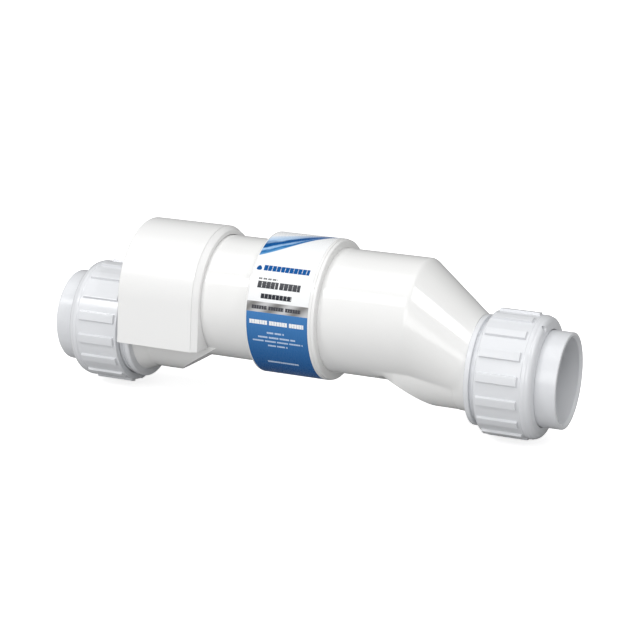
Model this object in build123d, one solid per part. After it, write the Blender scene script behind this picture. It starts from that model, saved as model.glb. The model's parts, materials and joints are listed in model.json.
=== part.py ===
from build123d import *
from math import cos, radians, sin, tan
import os

# Salt chlorine generator cell, in millimetres.
# Origin: the inlet's pipe stop, on the port axis. +X runs along the port axis from the inlet
# to the outlet, +Z points to the raised electrode chamber, +Y is the side with the cord inlet.
# A distance called "from the mouth" is measured inward from the open end of a tailpiece,
# and is the same at both ends of the cell.

# Overall
LENGTH = 390.5              # mouth to mouth
AXIS_SHORT_OF_PORT = 0.75   # chamber axis above the port axis, short of the port's radius

# Slip sockets for 2-inch pipe
SOCKET_R = 30.25
SOCKET_DEPTH = 29.4
SOCKET_WALL = 3.95
MOUTH_CHAMFER = 1.7
STOP_WALL = 3.6             # web behind the pipe stop
STOP_HEIGHT = 3.95          # step that stops the pipe

# Unions
FLANGE_STEP = 3.0           # tailpiece flange above the socket wall
FLANGE_THICK = 10.8
FACE_GAP = 0.1              # tailpiece face to union end
NUT_SEAT_GAP = 0.2
NUT_END_WALL = 6.3
NUT_LENGTH = 40.2
NUT_WALL = 4.9
NUT_HOLE_GAP = 0.4          # nut hole over the tailpiece
NUT_SHOULDER = 3.6
THREAD_OVER_FLANGE = 0.8
THREAD_GAP = 0.4
RELIEF_LENGTH = 2.9
RELIEF_DEPTH = 0.8
NUT_TO_COLLAR = 4.6
COLLAR_LENGTH = 4.0
COLLAR_RISE = 1.5           # above the thread
COLLAR_CHAMFER = 0.8
RIB_COUNT = 16
RIB_WIDTH = 6.5
RIB_HEIGHT = 1.8
RIB_SETBACK = 8.9           # nut face to the ribs
RIB_END_GAP = 1.6           # ribs to the nut's open end
RIB_PHASES = {"inlet": 9.8, "outlet": 15.9}   # degrees from +Y towards +Z to the first rib
RIB_EDGE = 0.5
SPANNER_HOLE_R = 1.4
SPANNER_HOLE_DEPTH = 2.6
SPANNER_HOLE_INSET = 2.6    # inside the nut's outer radius
SPANNER_HOLE_ANGLE = 112.0
SEAL_SECTION = 1.75
SEAL_GROOVE_GAP = 0.1
SEAL_SHY = 0.05             # ring below the union end's face

# Ports and housings
PORT_WALL = 3.95
PORT_JOINT_GAP = 0.05       # spigot in the union end
SPIGOT_LENGTH = 26.0
HUB_FLARE = 3.8             # hub above the port
HUB_LENGTH = 10.0
BODY_R = 45.2
BODY_WALL = 4.0
BODY_START = 107.4          # from the mouth
CONE_TIP = 53.0             # from the mouth, where the sloped end would meet the port
RAMP_FOOT = 92.8            # from the mouth
RAMP_ANGLE = 33.0           # degrees
END_WALL = 6.0

# Centre band and label
BAND_START = 134.8
BAND_WIDTH = 53.6
BAND_THICK = 6.5
BAND_STOP = 3.0             # rib between the two housings
BAND_EDGE = 1.0
LABEL_INSET = 1.6
LABEL_WIDTH = 47.4
LABEL_THICK = 0.25
LABEL_RECESS = 0.3
LABEL_EDGE_GAP = 0.1
LABEL_ARC = 204.0           # degrees
LABEL_TURN = 170.0          # middle of the label, degrees from +Y towards +Z

# Terminal hood
HOOD_OVER_COLLAR = 1.4      # hood's left edge past the start of the collar
HOOD_LENGTH = 64.6
HOOD_RISE = 6.55            # hood outside above the chamber
HOOD_WALL = 2.75
HOOD_FLOOR = -4.6
HOOD_CHAMFER_X = 4.5
HOOD_CHAMFER_R = 3.0
HOOD_CORNER = 0.8
HOOD_GAP = 0.3
HOOD_COLLAR_GAP = 0.5
BASE_THICK = 2.8
BASE_SHY = 1.0              # base plates above the hood's lower edge
BASE_GAP = 0.2
BASE_PORT_GAP = 0.5
BOSS_R = 3.6
BOSS_HEIGHT = 11.0
BOSS_MERGE = 0.1            # boss into the hood's wall
BOSS_INSET = 4.5            # boss axis from the hood's inner end wall
SCREW_R = 1.45
SCREW_HEAD_R = 2.7
SCREW_HEAD = 1.5
SCREW_LENGTH = 10.0
SCREW_GAP = 0.15

# Terminals
STUD_R = 3.0
STUD_TAIL = 13.0            # stud beyond the housing's end wall, outside
STUD_FLANGE_R = 5.4
STUD_FLANGE = 2.0
STUD_GAP = 0.1
STUD_SEAL_R = 4.9
STUD_SEAL = 2.4
BOARD_THICK = 3.0
BOARD_INSET = 5.2           # board edge inside the chamber's outside
BOARD_HALF = 27.0
BOARD_OVER_PORT = 2.8
WASHER_R = 5.9
WASHER_THICK = 1.2
NUT_FLATS = 10.0
NUT_THICK = 5.0
STUD_SPREAD = 14.0          # anode and cathode studs from the middle
CATHODE_OVER_PORT = 7.3
ANODE_OVER_CATHODE = 12.5
PROBE_LIFT = 0.98           # probe above the middle of the space over the plates
PROBE_REACH = 22.0          # probe inside the chamber

# Electrode pack
PLATE_COUNT = 9
PLATE_PITCH = 7.0
PLATE_THICK = 1.2
PLATE_LENGTH = 142.0
PLATE_CORNER_GAP = 3.9      # outer plates' corners inside the chamber's bore
PLATE_TAB = 4.6
PLATE_TAB_ROOT = 4.0
TAB_OVER_BUS = 1.0          # anode tabs above the cathode bus bar
BUS_THICK = 3.0
BUS_HEIGHT = 8.0
BUS_OVERHANG = 2.0
COMB_LENGTH = 6.0
COMB_GRIP = 3.0
COMB_RISE = 2.5             # comb above the plates' edges
COMB_INSET = 14.0           # plate ends to the combs
COMB_BORE_GAP = 0.4
SLOT_GAP = 0.1

# Mixing baffle in the inlet port
BAFFLE_AT = 84.0            # from the inlet mouth
BAFFLE_THICK = 3.0
BAFFLE_GAP = 0.1
BAFFLE_HOLE_R = 4.2
BAFFLE_RING_R = 16.5
BAFFLE_RING_COUNT = 8

# Cord gland on the hood's rear wall
GLAND_INSET = 24.1          # from the hood's left edge
GLAND_HEIGHT = 14.0
GLAND_THREAD_R = 10.0
GLAND_HOLE_GAP = 0.15
GLAND_TAIL = 9.0            # thread inside the hood
GLAND_BORE_R = 7.0
GLAND_FLATS = 24.0
GLAND_HEX = 5.0
GLAND_NECK_R = 9.0
GLAND_NECK = 9.5
GLAND_LOCK = 4.5
GLAND_NUT_R = 12.0
GLAND_NUT_LENGTH = 17.0
GLAND_NUT_GAP = 0.3
GLAND_NUT_HOLE_R = 5.5
GLAND_NUT_LIP = 3.6
GLAND_NUT_RIBS = 12
GLAND_FLUTE_R = 0.8
GLAND_NUT_DEPTH = 1.5       # nut past the end of the neck
GLAND_SEAL_R = 6.9
GLAND_SEAL_BORE_R = 4.5
GLAND_SEAL_LENGTH = 12.0
GLAND_SEAL_SINK = 8.0       # seal below the top of the gland's neck

# Worked out from the sizes above
BORE_R = SOCKET_R - STOP_HEIGHT
PORT_R = BORE_R + PORT_WALL
AXIS_RISE = PORT_R - AXIS_SHORT_OF_PORT
TAIL_R = SOCKET_R + SOCKET_WALL
TAIL_LENGTH = SOCKET_DEPTH + STOP_WALL
FLANGE_R = TAIL_R + FLANGE_STEP
FLANGE_BACK = TAIL_LENGTH - FLANGE_THICK
THREAD_R = FLANGE_R + THREAD_OVER_FLANGE
NUT_FACE = FLANGE_BACK - NUT_SEAT_GAP - NUT_END_WALL
NUT_BORE_R = THREAD_R + THREAD_GAP
NUT_R = NUT_BORE_R + NUT_WALL
UNION_FACE = TAIL_LENGTH + FACE_GAP
SEAL_R = (BORE_R + FLANGE_R) / 2
COLLAR_START = NUT_FACE + NUT_LENGTH + NUT_TO_COLLAR
COLLAR_END = COLLAR_START + COLLAR_LENGTH
COLLAR_R = THREAD_R + COLLAR_RISE
HUB_R = PORT_R + HUB_FLARE
BODY_BORE_R = BODY_R - BODY_WALL
OUTLET_MOUTH = LENGTH - SOCKET_DEPTH
BAND_MIDDLE = BAND_START + BAND_WIDTH / 2
BAND_R = BODY_R + BAND_THICK
WALL_FACE = BODY_START - SOCKET_DEPTH
WALL_BACK = WALL_FACE + END_WALL
BUS_FACE = WALL_BACK + STUD_FLANGE
PLATE_START = BUS_FACE + BUS_THICK + PLATE_TAB
PLATE_REACH = (PLATE_COUNT - 1) / 2 * PLATE_PITCH
CORNER_R = BODY_BORE_R - PLATE_CORNER_GAP
PLATE_HEIGHT = 2 * (CORNER_R ** 2 - (PLATE_REACH + PLATE_THICK / 2) ** 2) ** 0.5
HOOD_R = BODY_R + HOOD_RISE
HOOD_INNER_R = HOOD_R - HOOD_WALL
HOOD_LEFT = COLLAR_START + HOOD_OVER_COLLAR - SOCKET_DEPTH
HOOD_RIGHT = HOOD_LEFT + HOOD_LENGTH
GLAND_STATION = HOOD_LEFT + GLAND_INSET
BASE_BOTTOM = HOOD_FLOOR + BASE_SHY
BASE_TOP = BASE_BOTTOM + BASE_THICK
BOSS_Y = HOOD_INNER_R - BOSS_R + BOSS_MERGE
BOSS_STATIONS = (HOOD_LEFT + HOOD_WALL + BOSS_INSET, HOOD_RIGHT - HOOD_WALL - BOSS_INSET)
CATHODE_STUD = (STUD_SPREAD, PORT_R + CATHODE_OVER_PORT)
ANODE_STUD = (-STUD_SPREAD, CATHODE_STUD[1] + ANODE_OVER_CATHODE)
OVER_PLATES = AXIS_RISE + PLATE_HEIGHT / 4 + BODY_BORE_R / 2 + PROBE_LIFT
OVER_ANODE_BUS = ANODE_STUD[1] + BUS_HEIGHT / 2 + STUD_FLANGE_R + TAB_OVER_BUS
PROBE_STUD = (0.0, max(OVER_PLATES, OVER_ANODE_BUS))
STUDS = (ANODE_STUD, CATHODE_STUD, PROBE_STUD)
BOARD_R = BODY_R - BOARD_INSET


def lathe(points):
    """Turn an outline of (distance along X, radius) points about the X axis."""
    outline = Polyline(*[(x, r, 0) for x, r in points], close=True)
    return revolve(make_face(outline), Axis.X)


def rod(radius, start, end, y=0.0, z=0.0):
    """Round bar along X."""
    section = Plane(origin=(start, y, z), x_dir=(0, 1, 0), z_dir=(1, 0, 0)) * Circle(radius)
    return extrude(section, end - start)


def block(x0, x1, y0, y1, z0, z1):
    """Box between two corners."""
    middle = ((x0 + x1) / 2, (y0 + y1) / 2, (z0 + z1) / 2)
    return Pos(*middle) * Box(x1 - x0, y1 - y0, z1 - z0)


def at_end(shape, end):
    """Move a shape made with X measured from a mouth to the inlet or the outlet."""
    if end == "inlet":
        return Pos(-SOCKET_DEPTH, 0, 0) * shape
    return Pos(OUTLET_MOUTH, 0, 0) * mirror(shape, about=Plane.YZ)


def tailpiece():
    """Slip socket, pipe stop and flange that the union nut pulls against its union end."""
    return lathe([
        (0, SOCKET_R + MOUTH_CHAMFER), (0, TAIL_R), (FLANGE_BACK, TAIL_R),
        (FLANGE_BACK, FLANGE_R), (TAIL_LENGTH, FLANGE_R), (TAIL_LENGTH, BORE_R),
        (SOCKET_DEPTH, BORE_R), (SOCKET_DEPTH, SOCKET_R), (MOUTH_CHAMFER, SOCKET_R),
    ])


def union_nut(rib_phase):
    """Ribbed nut with a rounded shoulder and two shallow spanner holes."""
    open_end = NUT_FACE + NUT_LENGTH
    shell = rod(NUT_R, NUT_FACE, open_end)
    face_rim = shell.edges().filter_by(GeomType.CIRCLE).sort_by(Axis.X)[0]
    shell = fillet(face_rim, NUT_SHOULDER)
    start, end = NUT_FACE + RIB_SETBACK, open_end - RIB_END_GAP
    rib = block(start, end, -RIB_WIDTH / 2, RIB_WIDTH / 2, NUT_R - NUT_WALL / 2, NUT_R + RIB_HEIGHT)
    crest = rib.edges().group_by(Axis.Z)[-1]
    rib = chamfer(crest, RIB_EDGE)
    for turn in range(RIB_COUNT):
        shell += Rot(rib_phase - 90 + turn * 360 / RIB_COUNT, 0, 0) * rib
    shell -= rod(TAIL_R + NUT_HOLE_GAP, NUT_FACE - 1, open_end + 1)
    shell -= rod(NUT_BORE_R, NUT_FACE + NUT_END_WALL, open_end + 1)
    reach = NUT_R - SPANNER_HOLE_INSET
    for turn in (SPANNER_HOLE_ANGLE, SPANNER_HOLE_ANGLE + 180):
        y, z = reach * cos(radians(turn)), reach * sin(radians(turn))
        shell -= rod(SPANNER_HOLE_R, NUT_FACE - 1, NUT_FACE + SPANNER_HOLE_DEPTH, y, z)
    return shell


def union_end():
    """Threaded half of the union, cemented on the port. The thread is a plain cylinder."""
    thread_end = COLLAR_START - RELIEF_LENGTH
    step = COLLAR_CHAMFER
    body = lathe([
        (UNION_FACE, BORE_R), (UNION_FACE, THREAD_R - step), (UNION_FACE + step, THREAD_R),
        (thread_end, THREAD_R), (thread_end, THREAD_R - RELIEF_DEPTH),
        (COLLAR_START, THREAD_R - RELIEF_DEPTH), (COLLAR_START, COLLAR_R),
        (COLLAR_END - step, COLLAR_R), (COLLAR_END, COLLAR_R - step), (COLLAR_END, BORE_R),
    ])
    body -= rod(PORT_R + PORT_JOINT_GAP, COLLAR_END - SPIGOT_LENGTH - FACE_GAP, COLLAR_END + 1)
    half = SEAL_SECTION + SEAL_GROOVE_GAP
    depth = 2 * SEAL_SECTION + SEAL_SHY
    groove = rod(SEAL_R + half, UNION_FACE, UNION_FACE + depth)
    groove -= rod(SEAL_R - half, UNION_FACE, UNION_FACE + depth)
    return body - groove


def seal_ring():
    """Face seal in the union end's groove."""
    centre = UNION_FACE + SEAL_SHY + SEAL_SECTION
    return Pos(centre, 0, 0) * Rot(0, 90, 0) * Torus(SEAL_R, SEAL_SECTION)


def eccentric_cone(wall):
    """Sloped end that shrinks the chamber's circle to the port's circle, less a wall."""
    big = Plane(origin=(BODY_START, 0, AXIS_RISE), x_dir=(0, 1, 0), z_dir=(1, 0, 0))
    small = Plane(origin=(CONE_TIP, 0, 0), x_dir=(0, 1, 0), z_dir=(1, 0, 0))
    return loft([big * Circle(BODY_R - wall), small * Circle(PORT_R - wall)], ruled=True)


def port_run(wall):
    """Port cylinder that ends in a ramp up to the underside of the chamber, less a wall."""
    radius = PORT_R - wall
    run = rod(radius, COLLAR_END - SPIGOT_LENGTH, BODY_START + BODY_R)
    foot = RAMP_FOOT - wall * tan(radians(RAMP_ANGLE / 2))
    side = 4 * BODY_R
    cutter = Pos(foot, 0, -radius) * Rot(0, -RAMP_ANGLE, 0) * Pos(0, 0, -side / 2) * Box(2 * side, side, side)
    return run - cutter


def outlet_end_shell():
    """Sloped end, port and hub, from the spigot to the chamber."""
    tube = rod(BODY_R, BODY_START, BODY_START + BODY_R, 0, AXIS_RISE)
    cone = eccentric_cone(0) - block(0, COLLAR_END, -BODY_R, BODY_R, -BODY_R, 2 * BODY_R)
    hub = lathe([(COLLAR_END, 0), (COLLAR_END, HUB_R), (COLLAR_END + HUB_LENGTH, PORT_R),
                 (COLLAR_END + HUB_LENGTH, 0)])
    shell = tube + cone + port_run(0) + hub
    inner_wall = PORT_R - BORE_R
    shell -= eccentric_cone(BODY_WALL)
    shell -= rod(BODY_BORE_R, BODY_START, BODY_START + 2 * BODY_R, 0, AXIS_RISE)
    return shell - port_run(inner_wall)


def outlet_housing():
    """Outlet half of the chamber, with the eccentric reducer."""
    far = OUTLET_MOUTH - BODY_START - BODY_R
    near = BAND_MIDDLE + BAND_STOP / 2
    tube = rod(BODY_R, near, far + 1, 0, AXIS_RISE) - rod(BODY_BORE_R, near, far + 1, 0, AXIS_RISE)
    return at_end(outlet_end_shell(), "outlet") + tube


def inlet_housing():
    """Inlet half of the chamber: flat end wall for the terminals above the inlet port."""
    hub = lathe([(COLLAR_END, 0), (COLLAR_END, HUB_R), (COLLAR_END + HUB_LENGTH, PORT_R),
                 (COLLAR_END + HUB_LENGTH, 0)])
    port = at_end(port_run(0) + hub, "inlet")
    tube = rod(BODY_R, WALL_FACE, BAND_MIDDLE - BAND_STOP / 2, 0, AXIS_RISE)
    shell = tube + port
    shell -= rod(BODY_BORE_R, WALL_BACK, BAND_MIDDLE, 0, AXIS_RISE)
    shell -= at_end(port_run(PORT_R - BORE_R), "inlet")
    for y, z in STUDS:
        shell -= rod(STUD_R + STUD_GAP, WALL_FACE - 1, WALL_BACK + 1, y, z)
        shell -= rod(STUD_SEAL_R + STUD_GAP, WALL_FACE - 1, WALL_FACE + STUD_SEAL, y, z)
    return shell


def centre_band():
    """Coupling sleeve that joins the housings, with a recess for the label."""
    x0, x1 = BAND_START, BAND_START + BAND_WIDTH
    recess_start, recess_end = x0 + LABEL_INSET, x0 + LABEL_INSET + LABEL_WIDTH
    low = BAND_R - LABEL_RECESS
    half = BAND_STOP / 2
    sleeve = lathe([
        (x0, BODY_R), (x0, BAND_R - BAND_EDGE), (x0 + BAND_EDGE, BAND_R), (recess_start, BAND_R),
        (recess_start, low), (recess_end, low), (recess_end, BAND_R), (x1 - BAND_EDGE, BAND_R),
        (x1, BAND_R - BAND_EDGE), (x1, BODY_R), (BAND_MIDDLE + half, BODY_R),
        (BAND_MIDDLE + half, BODY_BORE_R), (BAND_MIDDLE - half, BODY_BORE_R), (BAND_MIDDLE - half, BODY_R),
    ])
    return Pos(0, 0, AXIS_RISE) * sleeve


def label():
    """Thin printed sheet bent around the front of the band."""
    x0 = BAND_START + LABEL_INSET + LABEL_EDGE_GAP
    x1 = BAND_START + LABEL_INSET + LABEL_WIDTH - LABEL_EDGE_GAP
    low = BAND_R - LABEL_RECESS
    section = Polyline((x0, low, 0), (x1, low, 0), (x1, low + LABEL_THICK, 0), (x0, low + LABEL_THICK, 0), close=True)
    sheet = revolve(make_face(section), Axis.X, LABEL_ARC)
    return Pos(0, 0, AXIS_RISE) * Rot(LABEL_TURN - LABEL_ARC / 2, 0, 0) * sheet


def arch(radius, floor, start, end):
    """Half-round arch about the chamber axis, with straight sides down to the floor height."""
    plane = Plane(origin=(start, 0, AXIS_RISE), x_dir=(0, 1, 0), z_dir=(1, 0, 0))
    top = Circle(radius) & Rectangle(2 * radius, radius, align=(Align.CENTER, Align.MIN))
    sides = Rectangle(2 * radius, AXIS_RISE - floor, align=(Align.CENTER, Align.MAX))
    return extrude(plane * (top + sides), end - start)


def terminal_hood():
    """Hood over the terminals, with an end wall at each side and four screw bosses."""
    hood = arch(HOOD_R, HOOD_FLOOR, HOOD_LEFT, HOOD_RIGHT)
    right_rim = hood.edges().filter_by_position(Axis.X, HOOD_RIGHT - 0.01, HOOD_RIGHT + 0.01)
    right_rim = right_rim.sort_by(Axis.Z)[1:]
    hood = chamfer(right_rim, HOOD_CHAMFER_X, HOOD_CHAMFER_R, reference=hood.faces().sort_by(Axis.X)[-1])
    left_rim = hood.edges().filter_by_position(Axis.X, HOOD_LEFT - 0.01, HOOD_LEFT + 0.01)
    left_rim = left_rim.sort_by(Axis.Z)[1:]
    hood = fillet(left_rim, HOOD_CORNER)
    hood -= arch(HOOD_INNER_R, HOOD_FLOOR - 1, HOOD_LEFT + HOOD_WALL, HOOD_RIGHT - HOOD_WALL)
    for x in BOSS_STATIONS:
        for y in (-BOSS_Y, BOSS_Y):
            boss = Pos(x, y, BASE_TOP) * Cylinder(BOSS_R, BOSS_HEIGHT, align=(Align.CENTER, Align.CENTER, Align.MIN))
            hood += boss
            hood -= Pos(x, y, BASE_TOP) * Cylinder(SCREW_R, SCREW_LENGTH, align=(Align.CENTER, Align.CENTER, Align.MIN))
    middle = (HOOD_LEFT + HOOD_RIGHT) / 2
    hood -= rod(COLLAR_R + HOOD_COLLAR_GAP, HOOD_LEFT - 1, middle - HOOD_LENGTH / 4)
    hood -= rod(BODY_R + HOOD_GAP, middle, HOOD_RIGHT + 1, 0, AXIS_RISE)
    hood -= rod(PORT_R + HOOD_GAP, middle, HOOD_RIGHT + 1)
    hole = Plane(origin=(GLAND_STATION, HOOD_INNER_R - 1, GLAND_HEIGHT), x_dir=(1, 0, 0), z_dir=(0, 1, 0))
    return hood - extrude(hole * Circle(GLAND_THREAD_R + GLAND_HOLE_GAP), HOOD_WALL + 2)


def hood_base(side):
    """Strip that closes the hood's underside beside the port. Side is -1 in front, 1 behind."""
    x0, x1 = HOOD_LEFT + HOOD_WALL + BASE_GAP, HOOD_RIGHT - HOOD_WALL - BASE_GAP
    outer = HOOD_INNER_R - BASE_GAP
    y0, y1 = sorted((0, side * outer))
    plate = block(x0, x1, y0, y1, BASE_BOTTOM, BASE_TOP)
    plate -= rod(HUB_R + BASE_PORT_GAP, x0 - 1, x1 + 1)
    plate -= rod(BODY_R + BASE_PORT_GAP, WALL_FACE - 1, x1 + 1, 0, AXIS_RISE)
    for x in BOSS_STATIONS:
        head = Pos(x, side * BOSS_Y, BASE_BOTTOM) * Cylinder(SCREW_HEAD_R + SCREW_GAP, 2 * SCREW_HEAD)
        shank = Pos(x, side * BOSS_Y, BASE_BOTTOM) * Cylinder(SCREW_R + SCREW_GAP, 3 * BASE_THICK)
        plate = plate - head - shank
    return plate


def hood_screws():
    """Four screws from below through the base strips into the hood's bosses."""
    up = (Align.CENTER, Align.CENTER, Align.MIN)
    screws = []
    for x in BOSS_STATIONS:
        for y in (-BOSS_Y, BOSS_Y):
            head = Cylinder(SCREW_HEAD_R, SCREW_HEAD, align=up)
            shank = Cylinder(SCREW_R, BASE_THICK + SCREW_LENGTH - 1, align=up)
            slot = Box(2 * SCREW_HEAD_R, SCREW_HEAD / 2, SCREW_HEAD / 2, align=up)
            screws.append(Pos(x, y, BASE_BOTTOM) * (head + shank - slot))
    return Compound(children=screws)


def stud(y, z, reach):
    """Threaded terminal stud with a flange against the inside of the end wall."""
    bar = rod(STUD_R, WALL_FACE - STUD_TAIL, WALL_BACK + reach, y, z)
    return bar + rod(STUD_FLANGE_R, WALL_BACK, WALL_BACK + STUD_FLANGE, y, z)


def ring_on_stud(outer, start, thick, y, z):
    """Flat ring around a stud."""
    return rod(outer, start, start + thick, y, z) - rod(STUD_R + STUD_GAP, start - 1, start + thick + 1, y, z)


def stud_seals():
    """Rubber rings in the end wall's recesses, one on each stud."""
    return Compound(children=[ring_on_stud(STUD_SEAL_R, WALL_FACE, STUD_SEAL, y, z) for y, z in STUDS])


def terminal_board():
    """Moulded plate over the studs that keeps the terminals apart."""
    x1 = WALL_FACE
    x0 = x1 - BOARD_THICK
    disc = rod(BOARD_R, x0, x1, 0, AXIS_RISE)
    board = disc & block(x0, x1, -BOARD_HALF, BOARD_HALF, PORT_R + BOARD_OVER_PORT, AXIS_RISE + BOARD_R)
    for y, z in STUDS:
        board -= rod(STUD_R + STUD_GAP, x0 - 1, x1 + 1, y, z)
    return board


def stud_washers():
    """One washer on each stud."""
    start = WALL_FACE - BOARD_THICK - WASHER_THICK
    return Compound(children=[ring_on_stud(WASHER_R, start, WASHER_THICK, y, z) for y, z in STUDS])


def hex_bar(flats, start, thick, y, z):
    """Hexagonal bar along X."""
    plane = Plane(origin=(start, y, z), x_dir=(0, 1, 0), z_dir=(1, 0, 0))
    return extrude(plane * RegularPolygon(flats / 2, 6, major_radius=False), thick)


def stud_nuts():
    """One hexagon nut on each stud."""
    start = WALL_FACE - BOARD_THICK - WASHER_THICK - NUT_THICK
    nuts = []
    for y, z in STUDS:
        hole = rod(STUD_R + STUD_GAP, start - 1, start + NUT_THICK + 1, y, z)
        nuts.append(hex_bar(NUT_FLATS, start, NUT_THICK, y, z) - hole)
    return Compound(children=nuts)


def plate_heights():
    """Heights of the plates' lower and upper edges."""
    return AXIS_RISE - PLATE_HEIGHT / 2, AXIS_RISE + PLATE_HEIGHT / 2


def bus_bar(stud_at, outer_plate):
    """Bar behind the end wall that joins one stud to the tabs of its plates."""
    y, z = stud_at
    half = outer_plate + PLATE_THICK / 2 + BUS_OVERHANG
    bar = block(BUS_FACE, BUS_FACE + BUS_THICK, -half, half, z - BUS_HEIGHT / 2, z + BUS_HEIGHT / 2)
    return bar - rod(STUD_R + STUD_GAP, BUS_FACE - 1, BUS_FACE + BUS_THICK + 1, y, z)


def plate(index, stud_at):
    """Electrode plate with a tab that reaches its bus bar."""
    y = index * PLATE_PITCH - PLATE_REACH
    low, high = plate_heights()
    half = PLATE_THICK / 2
    sheet = block(PLATE_START, PLATE_START + PLATE_LENGTH, y - half, y + half, low, high)
    tab_low = min(stud_at[1] - BUS_HEIGHT / 2, high - PLATE_TAB_ROOT)
    if stud_at == ANODE_STUD:
        tab_low = max(tab_low, CATHODE_STUD[1] + BUS_HEIGHT / 2 + TAB_OVER_BUS)
    tab_high = stud_at[1] + BUS_HEIGHT / 2
    return sheet + block(PLATE_START - PLATE_TAB, PLATE_START, y - half, y + half, tab_low, tab_high)


def comb(station, side):
    """Slotted bar that spaces the plates. Side is 1 over the plates, -1 under them."""
    edge = AXIS_RISE + side * PLATE_HEIGHT / 2
    inner, outer = edge - side * COMB_GRIP, edge + side * COMB_RISE
    rise = abs(outer - AXIS_RISE)
    half = ((BODY_BORE_R - COMB_BORE_GAP) ** 2 - rise ** 2) ** 0.5
    bar = block(station, station + COMB_LENGTH, -half, half, min(inner, outer), max(inner, outer))
    slot_half = PLATE_THICK / 2 + SLOT_GAP
    slot_end = edge + side * SLOT_GAP
    low, high = sorted((inner - side, slot_end))
    for index in range(PLATE_COUNT):
        y = index * PLATE_PITCH - PLATE_REACH
        bar -= block(station - 1, station + COMB_LENGTH + 1, y - slot_half, y + slot_half, low, high)
    return bar


def mixing_baffle():
    """Perforated disc in the inlet port that stirs the water ahead of the plates."""
    start = BAFFLE_AT - SOCKET_DEPTH
    end = start + BAFFLE_THICK
    disc = rod(BORE_R - BAFFLE_GAP, start, end) - rod(BAFFLE_HOLE_R, start - 1, end + 1)
    for turn in range(BAFFLE_RING_COUNT):
        angle = radians(turn * 360 / BAFFLE_RING_COUNT)
        y, z = BAFFLE_RING_R * cos(angle), BAFFLE_RING_R * sin(angle)
        disc -= rod(BAFFLE_HOLE_R, start - 1, end + 1, y, z)
    return disc


def gland_rod(radius, start, length):
    """Round bar along +Y on the gland's axis, from a distance beyond the hood's rear wall."""
    place = (GLAND_STATION, HOOD_R + start, GLAND_HEIGHT)
    plane = Plane(origin=place, x_dir=(1, 0, 0), z_dir=(0, 1, 0))
    return extrude(plane * Circle(radius), length)


def gland_hex(flats, start, length):
    """Hexagonal bar on the gland's axis."""
    place = (GLAND_STATION, HOOD_R + start, GLAND_HEIGHT)
    plane = Plane(origin=place, x_dir=(1, 0, 0), z_dir=(0, 1, 0))
    return extrude(plane * RegularPolygon(flats / 2, 6, major_radius=False), length)


def gland_body():
    """Threaded cord gland through the hood's rear wall."""
    tail = HOOD_WALL + GLAND_TAIL
    body = gland_rod(GLAND_THREAD_R, -tail, tail) + gland_hex(GLAND_FLATS, 0, GLAND_HEX)
    body += gland_rod(GLAND_NECK_R, GLAND_HEX, GLAND_NECK)
    return body - gland_rod(GLAND_BORE_R, -tail - 1, tail + GLAND_HEX + GLAND_NECK + 2)


def gland_lock_nut():
    """Hexagon nut inside the hood."""
    start = -HOOD_WALL - GLAND_LOCK
    return gland_hex(GLAND_FLATS, start, GLAND_LOCK) - gland_rod(GLAND_THREAD_R + STUD_GAP, start - 1, GLAND_LOCK + 2)


def gland_seal():
    """Rubber sleeve that grips the cord."""
    start = GLAND_HEX + GLAND_NECK - GLAND_SEAL_SINK
    return gland_rod(GLAND_SEAL_R, start, GLAND_SEAL_LENGTH) - gland_rod(GLAND_SEAL_BORE_R, start - 1, GLAND_SEAL_LENGTH + 2)


def gland_nut():
    """Ribbed dome nut that squeezes the seal."""
    start = GLAND_HEX + GLAND_NUT_GAP
    nut = gland_rod(GLAND_NUT_R, start, GLAND_NUT_LENGTH)
    outer_rim = nut.edges().filter_by(GeomType.CIRCLE).sort_by(Axis.Y)[-1]
    nut = fillet(outer_rim, GLAND_NUT_LIP - 1)
    for turn in range(GLAND_NUT_RIBS):
        angle = radians(turn * 360 / GLAND_NUT_RIBS)
        x, z = GLAND_NUT_R * cos(angle), GLAND_NUT_R * sin(angle)
        nut -= Pos(x, 0, z) * gland_rod(GLAND_FLUTE_R, start - 1, GLAND_NUT_LENGTH - GLAND_NUT_LIP)
    deep = GLAND_NUT_LENGTH - GLAND_NUT_LIP
    nut -= gland_rod(GLAND_NECK_R + GLAND_NUT_GAP, start - 1, GLAND_NECK + GLAND_NUT_DEPTH)
    nut -= gland_rod(GLAND_SEAL_R + GLAND_NUT_GAP, start, deep)
    return nut - gland_rod(GLAND_NUT_HOLE_R, start, GLAND_NUT_LENGTH + 2)


def save(name, shape):
    """Write one node."""
    export_step(shape, f"parts/{name}.step")


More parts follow.
